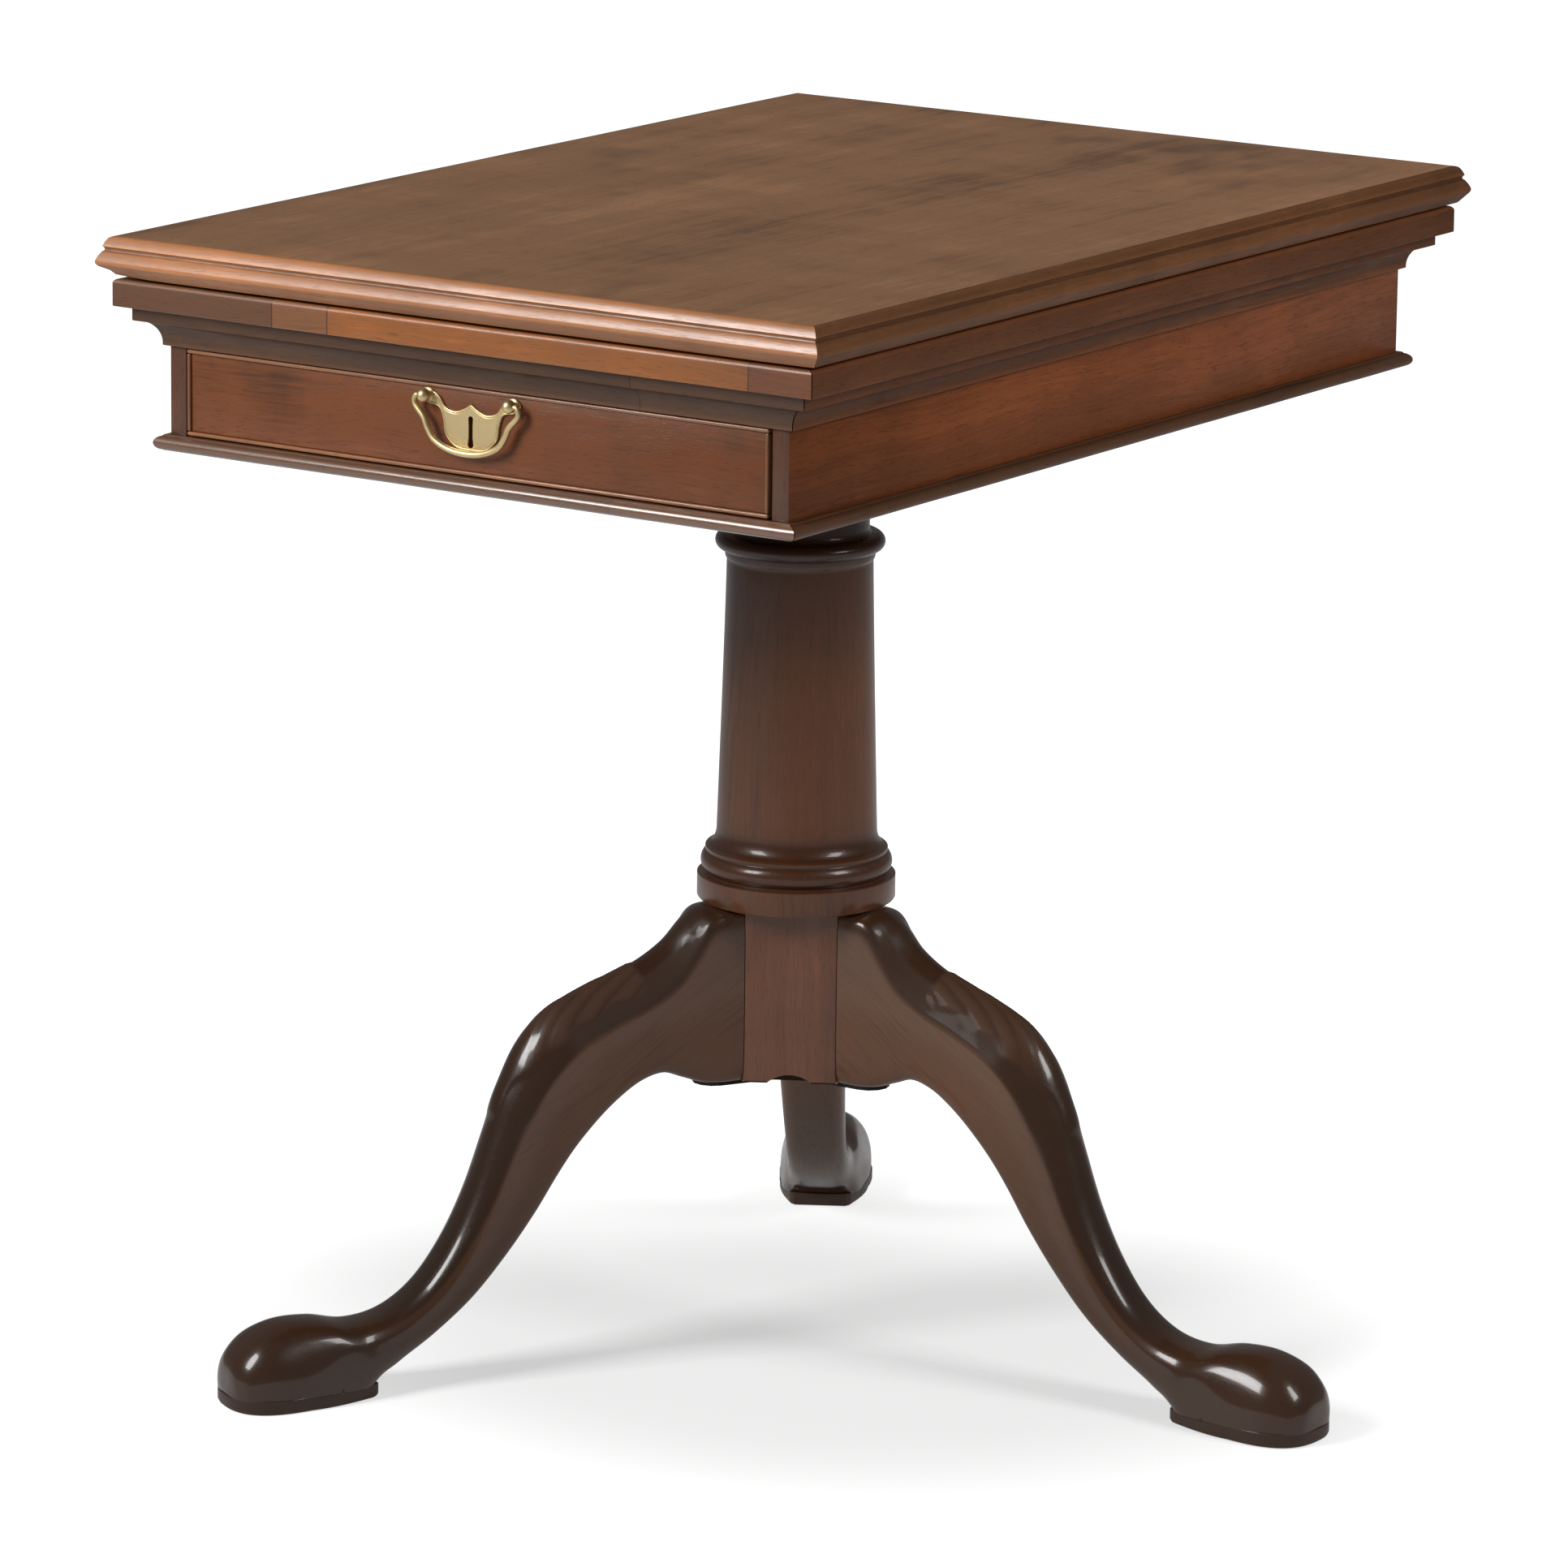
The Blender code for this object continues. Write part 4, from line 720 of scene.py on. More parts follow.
class TABLE_OT_top(bpy.types.Operator):
    """Models the tilting top with its moulded edge"""

    bl_idname = "reading_table.top"
    bl_label = "Top"

    def execute(self, context):
        z0, z1 = TOP_LOW.z, TOP_HIGH.z
        edge = self.edge(z0, z1)
        middle = (TOP_LOW + TOP_HIGH) / 2
        half = (TOP_HIGH - TOP_LOW) / 2
        rings = []
        for inset, z in edge:
            hinge_inset = inset
            if z < z0 + TOP_COVE_H:
                cove = TOP_COVE_W * (0.25 + 0.75 * math.sqrt(1 - ((z - z0) / TOP_COVE_H) ** 2))
                hinge_inset = max(inset, cove)
            low = (TOP_LOW.x + hinge_inset, TOP_LOW.y + inset)
            high = (TOP_HIGH.x - inset, TOP_HIGH.y - inset)
            rings.append(rectangle(low, high, z, across=40, along=58))
        top = sweep("table_top", rings)
        wobble(top, amount=0.00016, scale=14)
        drip_h, drip_w = 0.006, 0.03
        hinge_w, ramp_w = 0.012, 0.02
        for vert in top.data.vertices:
            clear_of_hinges = min(max((vert.co.x - TOP_LOW.x - hinge_w) / ramp_w, 0.0), 1.0)
            near = rim_distance(vert.co, middle, half) < drip_w
            if near and vert.co.z < z0 + drip_h:
                vert.co.z -= TOP_DRIP * clear_of_hinges * (1 - (vert.co.z - z0) / drip_h)
            vert.co.z = min(vert.co.z, z1)
        flat = 0.05
        outline = edge + [(flat, z1), (flat, z0)]
        ages = hollowness(outline)
        ages[-2:] = 0
        places = coordinates(top)
        aside, ahead = np.abs(places[:, 0] - middle.x), np.abs(places[:, 1] - middle.y)
        inset = np.minimum(half.x - aside, half.y - ahead)
        paint_age(top, np.stack([np.minimum(inset, flat), places[:, 2]], 1), outline, ages)
        tone = look().top_colour
        finish = mahogany("old_top", toned(tone, 0.9), "Y", 1.3, streaks=0.7, mottle=0.75, pores=0.5,
                          stain=0.62, roughness=0.46, spread=0.12, coat=0.06, coat_roughness=0.3, wear=0.5,
                          dirt=0.35, light=1.45, dark=0.5, shine=0.32, fade=("Y", -0.3, 0.35, 1.35))
        rim = mahogany("top_edge_wood", toned(tone, 0.9, 1.2), "X", 1.9, streaks=0.7, mottle=0.9, pores=0.4,
                       stain=0.3, roughness=0.35, spread=0.16, coat=0.14, coat_roughness=0.22, wear=0.9,
                       dirt=0.7)
        # The side edge is a much darker copy of the edge wood: painted shade.
        shaded_side_rim = mahogany("top_side_edge_painted_shade_wood", toned(tone, 0.35, 1.2), "Y", 2.6, streaks=0.7, mottle=0.8,
                            pores=0.4, stain=0.3, roughness=0.46, coat=0.04, shine=0.12, wear=0.5, dirt=0.6)
        settle(top, "top", finish, ["top_board"])
        rim_w, facing_down = 0.0087, -0.9
        for wood, own, other in ((rim, "y", "x"), (shaded_side_rim, "x", "y")):
            second_finish(top, wood, lambda face: (
                rim_distance(face.center, middle, half) < rim_w and face.normal.z > facing_down
                and abs(getattr(face.normal, own)) > abs(getattr(face.normal, other))))
        return {"FINISHED"}

    def edge(self, z0, z1):
        """The moulded edge from the underside up, as (inset, height): splay, nose, quirk and upper round."""
        edge = [(0.0072, z0), (0.0064, z0 + 0.0002), (0.0058, z0 + 0.0006), (0.0035, z0 + 0.0029)]
        edge.append((0.0016, z0 + 0.0049))
        nose = (0.0002, z1 - 0.0143)
        edge += self.rounding(nose, 20, 0.003, -42, 20)
        edge += self.rounding(nose, 20, 0.018, 20, 40)[1:]
        edge += [(0.0040, z1 - 0.0086), (0.0043, z1 - 0.0079), (0.0041, z1 - 0.0069)]
        edge += self.rounding((0.0032, z1 - 0.0060), 18, 0.016, 18, 38)
        edge += [(0.0064, z1 - 0.0007), (0.0072, z1 - 0.0003), (0.0080, z1 - 0.0001), (0.0090, z1)]
        return edge

    def rounding(self, point, slope, radius, start, end, count=8):
        """Points on a round that passes a point with a slope there, from one slope to another in degrees."""
        there = math.radians(slope)
        points = []
        for k in range(count):
            here = math.radians(start + (end - start) * k / (count - 1))
            points.append((point[0] + radius * (math.cos(there) - math.cos(here)),
                           point[1] + radius * (math.sin(here) - math.sin(there))))
        return points


def rim_distance(place, middle, half):
    """How far inside the edge of a rectangle a place lies."""
    return min(half.x - abs(place.x - middle.x), half.y - abs(place.y - middle.y))


def dent(piece, centre, reach):
    """A worn chip in a long strip at a place (along, height), with dirt in it."""
    depth = 0.0012
    ages = np.empty(len(piece.data.vertices), np.float32)
    piece.data.attributes["age"].data.foreach_get("value", ages)
    for vert in piece.data.vertices:
        away = math.hypot((vert.co.y - centre[0]) / reach[0], (vert.co.z - centre[1]) / reach[1])
        if away < 1:
            vert.co.x -= depth * (1 - away)
            ages[vert.index] = max(ages[vert.index], 1 - away * 0.5)
    store(piece, "age", "FLOAT", ages)


def second_finish(piece, finish, chosen):
    """Gives the chosen faces of a piece another finish."""
    piece.data.materials.append(finish)
    number = len(piece.data.materials) - 1
    for face in piece.data.polygons:
        if chosen(face):
            face.material_index = number


def rectangle(low, high, z, across, along):
    """Points round a rectangle, with several on each side."""
    corners = [(low[0], low[1]), (high[0], low[1]), (high[0], high[1]), (low[0], high[1])]
    points = []
    for i, (sx, sy) in enumerate(corners):
        ex, ey = corners[(i + 1) % 4]
        count = across if sy == ey else along
        for k in range(count):
            t = k / count
            points.append(Vector((sx + (ex - sx) * t, sy + (ey - sy) * t, z)))
    return points


def strips(prefix, profile, side_out, end_out, finishes, under=None, chip=None, steps=80):
    """Four mitred strips round the box from a profile of (share of the projection, height).

    The front strip may have another, darker finish under a height for painted shade, and the right one a
    chip.
    """
    for word, sign, run in (("left", -1, 1), ("right", 1, 1), ("front", -1, 0), ("back", 1, 0)):
        out = side_out if run == 1 else end_out
        section = eased([(share * out, z) for share, z in profile], look().edge_ease, steps=3)
        rings = []
        for k in range(steps + 1):
            t = 1 - 2 * k / steps
            ring = []
            for reach, z in section:
                share = reach / out
                if run == 1:
                    end = MITRE - BOX_HALF_L - end_out * share
                    place = (AXIS_X + sign * (BOX_HALF_W + SEAT + reach), end * t, z)
                else:
                    end = MITRE - BOX_HALF_W - side_out * share
                    place = (AXIS_X + end * t, sign * (BOX_HALF_L + SEAT + reach), z)
                ring.append(Vector(place))
            rings.append(ring)
        piece = sweep(f"{prefix}_{word}_moulding", rings)
        places = coordinates(piece)
        if run == 1:
            reach = np.abs(places[:, 0] - AXIS_X) - BOX_HALF_W - SEAT
        else:
            reach = np.abs(places[:, 1]) - BOX_HALF_L - SEAT
        paint_age(piece, np.stack([reach, places[:, 2]], 1), section, hollowness(section))
        if chip and word == "right":
            dent(piece, *chip)
        wobble(piece, amount=0.00014, scale=22, along=(0.2, 1, 1) if run == 0 else (1, 0.2, 1))
        settle(piece, "base", finishes[word], [f"{prefix}_{word}"], smooth=40)
        if under and word == "front":
            second_finish(piece, under[0], lambda face: face.center.z < under[1])


class TABLE_OT_cornice(bpy.types.Operator):
    """Models the cornice's four mitred strips: bead, cavetto, fillet and band"""

    bl_idname = "reading_table.cornice"
    bl_label = "Cornice"

    def execute(self, context):
        z0, z1 = CORNICE_LOW.z, CORNICE_HIGH.z
        band_z0 = z1 - BAND_H
        fillet_z0 = band_z0 - FILLET_H
        cove_z0 = z0 + CORNICE_BEAD_H
        bead, cove, fillet = 0.13, 0.56, 0.66
        profile = [(0, z0), (bead, z0)]
        for across, up in arc((1, 0), (1, 1), 180, 96, 14):
            profile.append((bead + (cove - bead) * across, cove_z0 + (fillet_z0 - cove_z0) * up))
        profile += [(fillet, fillet_z0), (fillet, band_z0), (1, band_z0)]
        profile += arc((0.87, z1 - 0.003), (0.13, 0.003), 0, 90, 8) + [(0, z1)]
        tone = look().moulding_colour
        repairs = [(AXIS_X - 0.1322, (1.75, 1.62, 1.4)), (AXIS_X - 0.0914, (1.3, 1.14, 0.74)),
                   (AXIS_X + 0.2085, (0.65, 0.64, 1.0))]
        finishes = {
            "front": mahogany("cornice_end_wood", toned(tone, 0.6), "X", 2.1, streaks=0.6, mottle=0.55,
                              roughness=0.36, dirt=1.0, wear=0.6, coat=0.2, shine=0.4, lengths=repairs),
            "back": mahogany("cornice_back_wood", tone, "X", 3.4, roughness=0.38, dirt=1.0, wear=0.5),
            # The right strip is a darker copy of the front's wood: painted shade.
            "right": mahogany("cornice_side_painted_shade_wood", toned(tone, 0.42, 1.18), "Y", 4.2, roughness=0.4,
                              dirt=0.6, wear=0.6, coat=0.03, shine=0.12),
            "left": mahogany("cornice_reader_wood", toned(tone, 0.6, 1.06), "Y", 5.7, roughness=0.38,
                             dirt=1.0, wear=0.6, coat=0.1, shine=0.3),
        }
        # Under the front band the moulding has a darker finish: painted shade.
        under_band_painted_shade = mahogany("cornice_under_band_painted_shade", toned(tone, 0.36, 0.92), "X", 2.8, streaks=0.6, mottle=0.6,
                             roughness=0.42, dirt=0.9, wear=0.6, coat=0.1, shine=0.35,
                             lengths=[(AXIS_X + 0.1216, (1.12, 1.1, 1.05))])
        side_out = CORNICE_SIDE_HIGH.x - AXIS_X - BOX_HALF_W - SEAT
        end_out = -CORNICE_LOW.y - BOX_HALF_L - SEAT
        chip = ((0.245, z1 - 0.008), (0.034, 0.0034))
        strips("cornice", profile, side_out, end_out, finishes, (under_band_painted_shade, band_z0), chip)
        return {"FINISHED"}


class TABLE_OT_base_moulding(bpy.types.Operator):
    """Models the small rounded moulding round the box's lower edge"""

    bl_idname = "reading_table.base_moulding"
    bl_label = "Base moulding"

    def execute(self, context):
        z0, z1 = BASE_LOW.z, BASE_HIGH.z
        rise = z1 - z0
        ledge = 0.35
        profile = [(0, z0), (ledge, z0)]
        for across, up in arc((0, 0), (1, 1), -80, 80, 15):
            profile.append((ledge + (1 - ledge) * across, z0 + rise * (0.47 + 0.43 * up)))
        profile += [(ledge, z1), (0, z1)]
        tone = look().moulding_colour
        finishes = {
            # The lighter length at the front's right end is a painted highlight.
            "front": mahogany("base_end_wood", toned(tone, 0.48, 0.95), "X", 6.2, roughness=0.32, dirt=0.9,
                              wear=0.6, coat=1.0, coat_roughness=0.15,
                              lengths=[(AXIS_X + 0.1026, (1.4, 1.4, 1.4))]),
            "back": mahogany("base_back_wood", tone, "X", 7.1, roughness=0.38, dirt=0.9, wear=0.6),
            # The right strip is a darker copy of the front's wood: painted shade.
            "right": mahogany("base_side_painted_shade_wood", toned(tone, 0.3), "Y", 8.3, roughness=0.42, dirt=0.9,
                              wear=0.5, coat=0.05, shine=0.25),
            "left": mahogany("base_reader_wood", toned(tone, 0.8), "Y", 9.1, roughness=0.38, dirt=0.9,
                             wear=0.6),
        }
        side_out = BASE_SIDE_HIGH.x - AXIS_X - BOX_HALF_W - SEAT
        end_out = -BASE_LOW.y - BOX_HALF_L - SEAT
        strips("base_moulding", profile, side_out, end_out, finishes)
        return {"FINISHED"}


class TABLE_OT_box(bpy.types.Operator):
    """Models the box's boards and finishes what lies inside it"""

    bl_idname = "reading_table.box"
    bl_label = "Box"

    def execute(self, context):
        tone = look().frieze_colour
        # The sides grow darker towards the front corner: painted shade.
        sides = mahogany("side_wood", toned(tone, 0.86, 1.1), "Y", 10.4, streaks=0.8, mottle=0.55,
                         roughness=0.4, coat=0.03, shine=0.1, fade=("Y", -0.1, -0.345, 0.6))
        ends = mahogany("end_wood", tone, "X", 11.2, streaks=0.75, mottle=0.6, roughness=0.36)
        stile = mahogany("stile_wood", toned(tone, 0.5, 0.98), "Z", 11.8, streaks=0.9, mottle=0.6,
                         roughness=0.4)
        for name, finish in (("box_side_left", sides), ("box_side_right", sides), ("box_back", ends)):
            low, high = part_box(name)
            piece = board(f"{name}_board", low, high, look().edge_ease)
            settle(piece, "base", finish, [name])
            if finish is sides:
                second_finish(piece, stile, lambda face: abs(face.normal.y) > 0.8)
        refinish(ends, "front_rail")
        under = mahogany("floor_wood", toned(tone, 0.8), "Y", 12.0, roughness=0.6, coat=0.0, stain=0.5)
        refinish(under, "box_floor")
        pale = look().lining_colour
        refinish(lining("dust_board_oak", pale, "Y", 1.0), "dust_board")
        refinish(lining("stop_oak", toned(pale, 0.85), "X", 2.0), "drawer_stop_left", "drawer_stop_right")
        refinish(lining("rack_oak", toned(pale, 0.7), "X", 3.0), "rack_front", "rack_back")
        return {"FINISHED"}


class TABLE_OT_easel(bpy.types.Operator):
    """Finishes the hinges and the folding strut that props the top"""

    bl_idname = "reading_table.easel"
    bl_label = "Hinges and strut"

    def execute(self, context):
        brass = dull_brass()
        for word in ("front", "back"):
            refinish(brass, f"hinge_{word}_lower_leaf", f"hinge_{word}_upper_leaf", f"hinge_{word}_pin")
        tone = toned(look().lining_colour, 0.72, 1.04)
        strut = lining("strut_oak", tone, "X", 13.1)
        cross = lining("strut_rail_oak", tone, "Y", 14.1)
        refinish(strut, "strut_arm_front", "strut_arm_back", "strut_bracket_front", "strut_bracket_back")
        refinish(cross, "strut_pivot_rail", "strut_foot_rail")
        return {"FINISHED"}


class TABLE_OT_drawer(bpy.types.Operator):
    """Models the drawer front with its keyhole and cock beads, and finishes the drawer's linings"""

    bl_idname = "reading_table.drawer"
    bl_label = "Drawer"

    def execute(self, context):
        tone = look().frieze_colour
        wood = mahogany("drawer_front_wood", toned(tone, 0.95, 1.02), "X", 15.3, streaks=0.6, mottle=0.85,
                        roughness=0.36, stain=0.3, coat=0.12, shine=0.3)
        front = board("drawer_front_board", FRONT_LOW, FRONT_HIGH, ease=0.0004)
        cut(front, keyhole_cutter(FRONT_LOW.y, FRONT_HIGH.y))
        settle(front, "drawer", wood, ["drawer_front"])
        trim = look().moulding_colour
        beads = mahogany("cock_bead_wood", toned(trim, 1.1), "X", 16.0, roughness=0.34, wear=0.8)
        stiles = mahogany("cock_bead_end_wood", toned(trim, 0.8), "Z", 17.0, roughness=0.34)
        for word, finish in (("top", beads), ("bottom", beads), ("left", stiles), ("right", stiles)):
            low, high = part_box(f"drawer_bead_{word}")
            bead = board(f"cock_bead_{word}", low, high, ease=0.0009, segments=4)
            settle(bead, "drawer", finish, [f"drawer_bead_{word}"], smooth=50)
        pale = look().lining_colour
        refinish(lining("drawer_side_oak", pale, "Y", 4.0), "drawer_side_left", "drawer_side_right")
        refinish(lining("drawer_back_oak", toned(pale, 0.95), "X", 5.0), "drawer_back")
        refinish(lining("drawer_bottom_oak", toned(pale, 1.05), "Y", 6.0), "drawer_bottom")
        iron = metal("lock_iron", look().iron_colour, 0.9, roughness=0.5, dark=0.45, hammered=0.5)
        refinish(iron, "lock_case", "lock_bolt")
        return {"FINISHED"}


def keyhole_cutter(y0, y1):
    """A keyhole through what lies between two places: a narrow slot with a round head above and below."""
    past = 0.004
    outline = arc((0, POST_Z - 0.0115), (0.0017, 0.0017), 0, 180, 9)
    outline += [(-0.0015, POST_Z - 0.0150), (-0.0015, POST_Z - 0.0225)]
    outline += arc((0, POST_Z - 0.0266), (0.0021, 0.0024), 150, 390, 11)
    outline += [(0.0015, POST_Z - 0.0225), (0.0015, POST_Z - 0.0150)]
    rings = [[Vector((AXIS_X + x, y, z)) for x, z in outline] for y in (y0 - past, y1 + past)]
    return sweep("keyhole_cutter", rings)


def offset_outline(points, distance):
    """A closed outline moved inwards."""
    moved = []
    count = len(points)
    for i in range(count):
        before, after = Vector(points[i - 1]), Vector(points[(i + 1) % count])
        tangent = (after - before).normalized()
        moved.append((points[i][0] - tangent.y * distance, points[i][1] + tangent.x * distance))
    return moved


class TABLE_OT_handle(bpy.types.Operator):
    """Models the brass lock plate, its posts and the swan-neck bail"""

    bl_idname = "reading_table.handle"
    bl_label = "Handle"

    def execute(self, context):
        brass = metal("worn_brass", look().brass_colour, 0.4, roughness=0.42, dark=0.6)
        half = smooth_path([(POST_X * x, BAIL_DROP * z) for x, z in PLATE_OUTLINE], steps=7)
        outline = half + [(-x, z) for x, z in reversed(half[1:-1])]
        back, front = PLATE_HIGH.y, PLATE_LOW.y
        bevel = ((0.0, 0.0007), (0.0003, 0.0002), (0.0007, 0.0), (0.0011, 0.0001), (0.0013, 0.0003),
                 (0.0016, 0.0003), (0.0019, 0.0001))
        rings = []
        for inset, y in [(0.0, back)] + [(inset, front + depth) for inset, depth in bevel]:
            rings.append([Vector((AXIS_X + x, y, POST_Z + z)) for x, z in offset_outline(outline, inset)])
        plate = sweep("lock_plate", rings)
        cut(plate, keyhole_cutter(front, back))
        settle(plate, "drawer", brass, ["handle_plate"], smooth=24)
        profile = [(0.0, POST_BALL_R)]
        profile += arc((0, 0), (POST_BALL_R, POST_BALL_R), 84, -48, 18)
        profile += [(0.0027, -0.0040), (0.0030, -0.0042), (POST_BALL_R, -0.0043)]
        profile += [(POST_BALL_R, -0.0047), (0.0, -0.0047)]
        post = turned("handle_post", profile, steps=40)
        for word, sign in (("left", -1), ("right", 1)):
            pick(post)
            bpy.ops.object.duplicate(linked=False)
            one = named(f"handle_post_{word}_turned")
            one.rotation_euler = (math.pi / 2, 0, 0)
            one.location = (AXIS_X + sign * POST_X, BAIL_Y, POST_Z)
            settle(one, "drawer", brass, [f"handle_post_{word}"], smooth=50)
        bpy.data.objects.remove(post)
        self.bail(brass)
        refinish(dull_brass(), "handle_nut_left", "handle_nut_right")
        return {"FINISHED"}

    def bail(self, brass):
        """Sweeps the bail along its curve, straight where it runs through the posts."""
        drop, pin_r, sides = BAIL_DROP, 0.0016, 20
        half = [(POST_X - POST_BALL_R * 0.83, 0, pin_r), (POST_X + POST_BALL_R * 1.24, 0, pin_r),
                (BAIL_HALF_W, -drop * 0.17, BAIL_R * 0.85), (POST_X, -drop * 0.40, BAIL_R),
                (POST_X * 0.903, -drop * 0.60, BAIL_R), (POST_X * 0.740, -drop * 0.81, BAIL_R),
                (POST_X * 0.406, -drop * 0.955, BAIL_R), (0, -drop, BAIL_R * 1.1)]
        route = half + [(-x, z, r) for x, z, r in reversed(half[:-1])]
        fine = [list(point) for point in smooth_path(route, steps=6)]
        for point in fine:
            if abs(point[0]) < POST_X + POST_BALL_R + SEAT and point[1] > -drop * 0.1:
                point[1:] = 0.0, pin_r
        rings = []
        for i, (x, z, radius) in enumerate(fine):
            before, after = fine[max(i - 1, 0)], fine[min(i + 1, len(fine) - 1)]
            tangent = Vector((after[0] - before[0], after[1] - before[1])).normalized()
            side = Vector((-tangent.y, tangent.x))
            ring = []
            for k in range(sides):
                out = radius * math.cos(math.tau * k / sides)
                deep = radius * math.sin(math.tau * k / sides)
                ring.append(Vector((AXIS_X + x + side.x * out, BAIL_Y + deep, POST_Z + z + side.y * out)))
            rings.append(ring)
        settle(sweep("swan_neck_bail", rings), "bail", brass, ["bail"], smooth=60)


class TABLE_OT_column(bpy.types.Operator):
    """Turns the column and shapes the six-sided block that takes the legs"""

    bl_idname = "reading_table.column"
    bl_label = "Column"

    def execute(self, context):
        cap_z1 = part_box("bearer_block")[0].z - SEAT
        tone = look().column_colour
        self.turned_column(self.outline(cap_z1), tone)
        self.block(tone)
        refinish(mahogany("bearer_wood", tone, "X", 20.0, roughness=0.45, coat=0.0), "bearer_block")
        iron = metal("plate_iron", look().iron_colour, 0.9, roughness=0.55, dark=0.45, hammered=0.6)
        refinish(iron, "spider_plate")
        return {"FINISHED"}

    def turned_column(self, profile, tone):
        """The column, darker on its lower mouldings, and with painted shade on all above the shaft, under the
        box.
        """
        column = turned("turned_column", profile, steps=128)
        places = coordinates(column)
        ages = hollowness(profile, window=0.004)
        ages[:2] = 0
        ages[-2:] = 0
        reach, height = np.hypot(places[:, 0], places[:, 1]), places[:, 2]
        paint_age(column, np.stack([reach, height], 1), profile, ages)
        # Stored shade: darker on the lower mouldings, and painted shade on the neck and ring under the box.
        collar_top, mouldings_top, painted_shade_bottom = 0.3025, 0.338, 0.507
        mouldings = np.clip((mouldings_top - height) / 0.008, 0, 1)
        mouldings *= np.clip((height - collar_top) / 0.002, 0.2, 1)
        neck = np.clip((height - painted_shade_bottom) / 0.003, 0, 1)
        store(column, "shade", "FLOAT", np.maximum(0.6 * mouldings, 0.8 * neck))
        column.location = (AXIS_X, 0, 0)
        # The column fades darker towards the top, under the box: painted shade.
        wood = mahogany("column_wood", tone, "Z", 18.0, streaks=0.6, mottle=0.4, pores=0.3, roughness=0.3,
                        spread=0.12, coat=0.4, coat_roughness=0.12, dirt=0.9, wear=0.4, shine=0.27,
                        fade=("Z", 0.38, 0.56, 0.5))
        settle(column, "base", wood, ["column"], smooth=40)

    def block(self, tone):
        """The six-sided block, with a scallop in the lower edge of each face that has no leg, painted dark
        inside as shade.
        """
        corners = []
        for turn in LEG_TURNS.values():
            along = direction(turn)
            across = Vector((-along.y, along.x)) * LEG_T / 2
            corners += [along * LEG_FACE - across, along * LEG_FACE + across]
        outline = eased([tuple(corner) for corner in corners], radius=0.0012, steps=4)
        levels = ((1.0, COLLAR_Z0), (1.0, 0.1785), (0.993, 0.1768), (0.975, 0.1757), (0.95, COLUMN_LOW.z))
        rings = []
        for shrink, z in levels:
            rings.append([Vector((AXIS_X + x * shrink, y * shrink, z)) for x, y in outline])
        block = sweep("leg_block", rings)
        for turn in LEG_TURNS.values():
            cut(block, self.scallop(direction(turn + 60)))
        wood = mahogany("block_wood", toned(tone, 0.98, 1.05), "Z", 19.0, streaks=0.9, mottle=0.7,
                        roughness=0.34, coat=0.25)
        settle(block, "base", wood, smooth=40)
        # The scallops' inner faces get a dark finish: painted shade.
        hollow = mahogany("block_scallop_painted_shade", toned(tone, 0.22), "Z", 19.5, roughness=0.7, coat=0.0,
                          shine=0.2)
        second_finish(block, hollow, self.in_scallop)

    def scallop(self, out):
        """A round cutter across the lower edge of one of the block's free faces."""
        rings = []
        for reach in (BLOCK_FLAT - 0.010, BLOCK_FLAT + 0.008):
            middle = out * reach
            rings.append([Vector((AXIS_X + middle.x - out.y * a, middle.y + out.x * a, COLUMN_LOW.z + b))
                          for a, b in arc((0, -0.0150), (0.021, 0.021), 0, 352.5, 48)])
        return sweep("scallop_cutter", rings)

    def in_scallop(self, face):
        """Whether a face lies inside one of the scallops, behind the block's free faces."""
        place = face.center - Vector((AXIS_X, 0, 0))
        reach = max(place.to_2d().dot(direction(turn + 60)) for turn in LEG_TURNS.values())
        return place.z < COLUMN_LOW.z + 0.008 and BLOCK_FLAT - 0.012 < reach < BLOCK_FLAT - 0.0006

    def outline(self, cap_z1):
        """Cap, neck, ring, shaft, hollow, torus and collar from the top down."""
        low = cap_z1 - 0.011
        points = [(0.0, cap_z1), (0.0575, cap_z1), (0.058, cap_z1 - 0.0006)]
        points += [(0.058, low + 0.0006), (0.0576, low)]
        points += arc((0.045, low - 0.001), (0.0117, 0.0117), 0, -78, 12)
        points += [(0.0452, low - 0.015), (0.0441, low - 0.0165), (0.0434, low - 0.0185), (0.0432, 0.535)]
        points += [(0.0432, RING_Z + 0.0092), (0.0437, RING_Z + 0.0070), (0.0447, RING_Z + 0.0057)]
        points += arc((0.048, RING_Z), (0.0052, 0.0052), 78, -78, 17)
        points += [(0.0474, RING_Z - 0.0060), (0.0471, RING_Z - 0.0068), (0.0470, RING_Z - 0.0092)]
        points += [(0.0467, RING_Z - 0.0102), (0.0460, RING_Z - 0.0110), (0.0458, RING_Z - 0.0124)]
        for share in np.linspace(0.0, 0.98, 18):
            points.append((0.0459 + 0.0046 * share ** 1.15, SHAFT_Z1 + (SHAFT_Z0 - SHAFT_Z1) * share))
        points += arc((0.0568, SHAFT_Z0), (0.0063, 0.0112), 182, 264, 13)
        points += [(0.0568, 0.3209), (0.0574, 0.3205), (0.0575, 0.3190), (0.0571, 0.3183)]
        points += arc((0.0516, TORUS_Z), (0.0087, 0.0086), 50, -44, 22)
        points += [(0.0577, 0.3046), (0.0578, 0.3040), (0.0583, 0.3036), (0.0622, 0.3033), (0.0625, 0.3031)]
        points += [(0.0625, COLLAR_Z0 + 0.0010), (0.0619, COLLAR_Z0), (0.0, COLLAR_Z0)]
        return points


def direction(turn):
    """The way out from the column's axis at a turn in degrees."""
    return Vector((math.cos(math.radians(turn)), math.sin(math.radians(turn))))


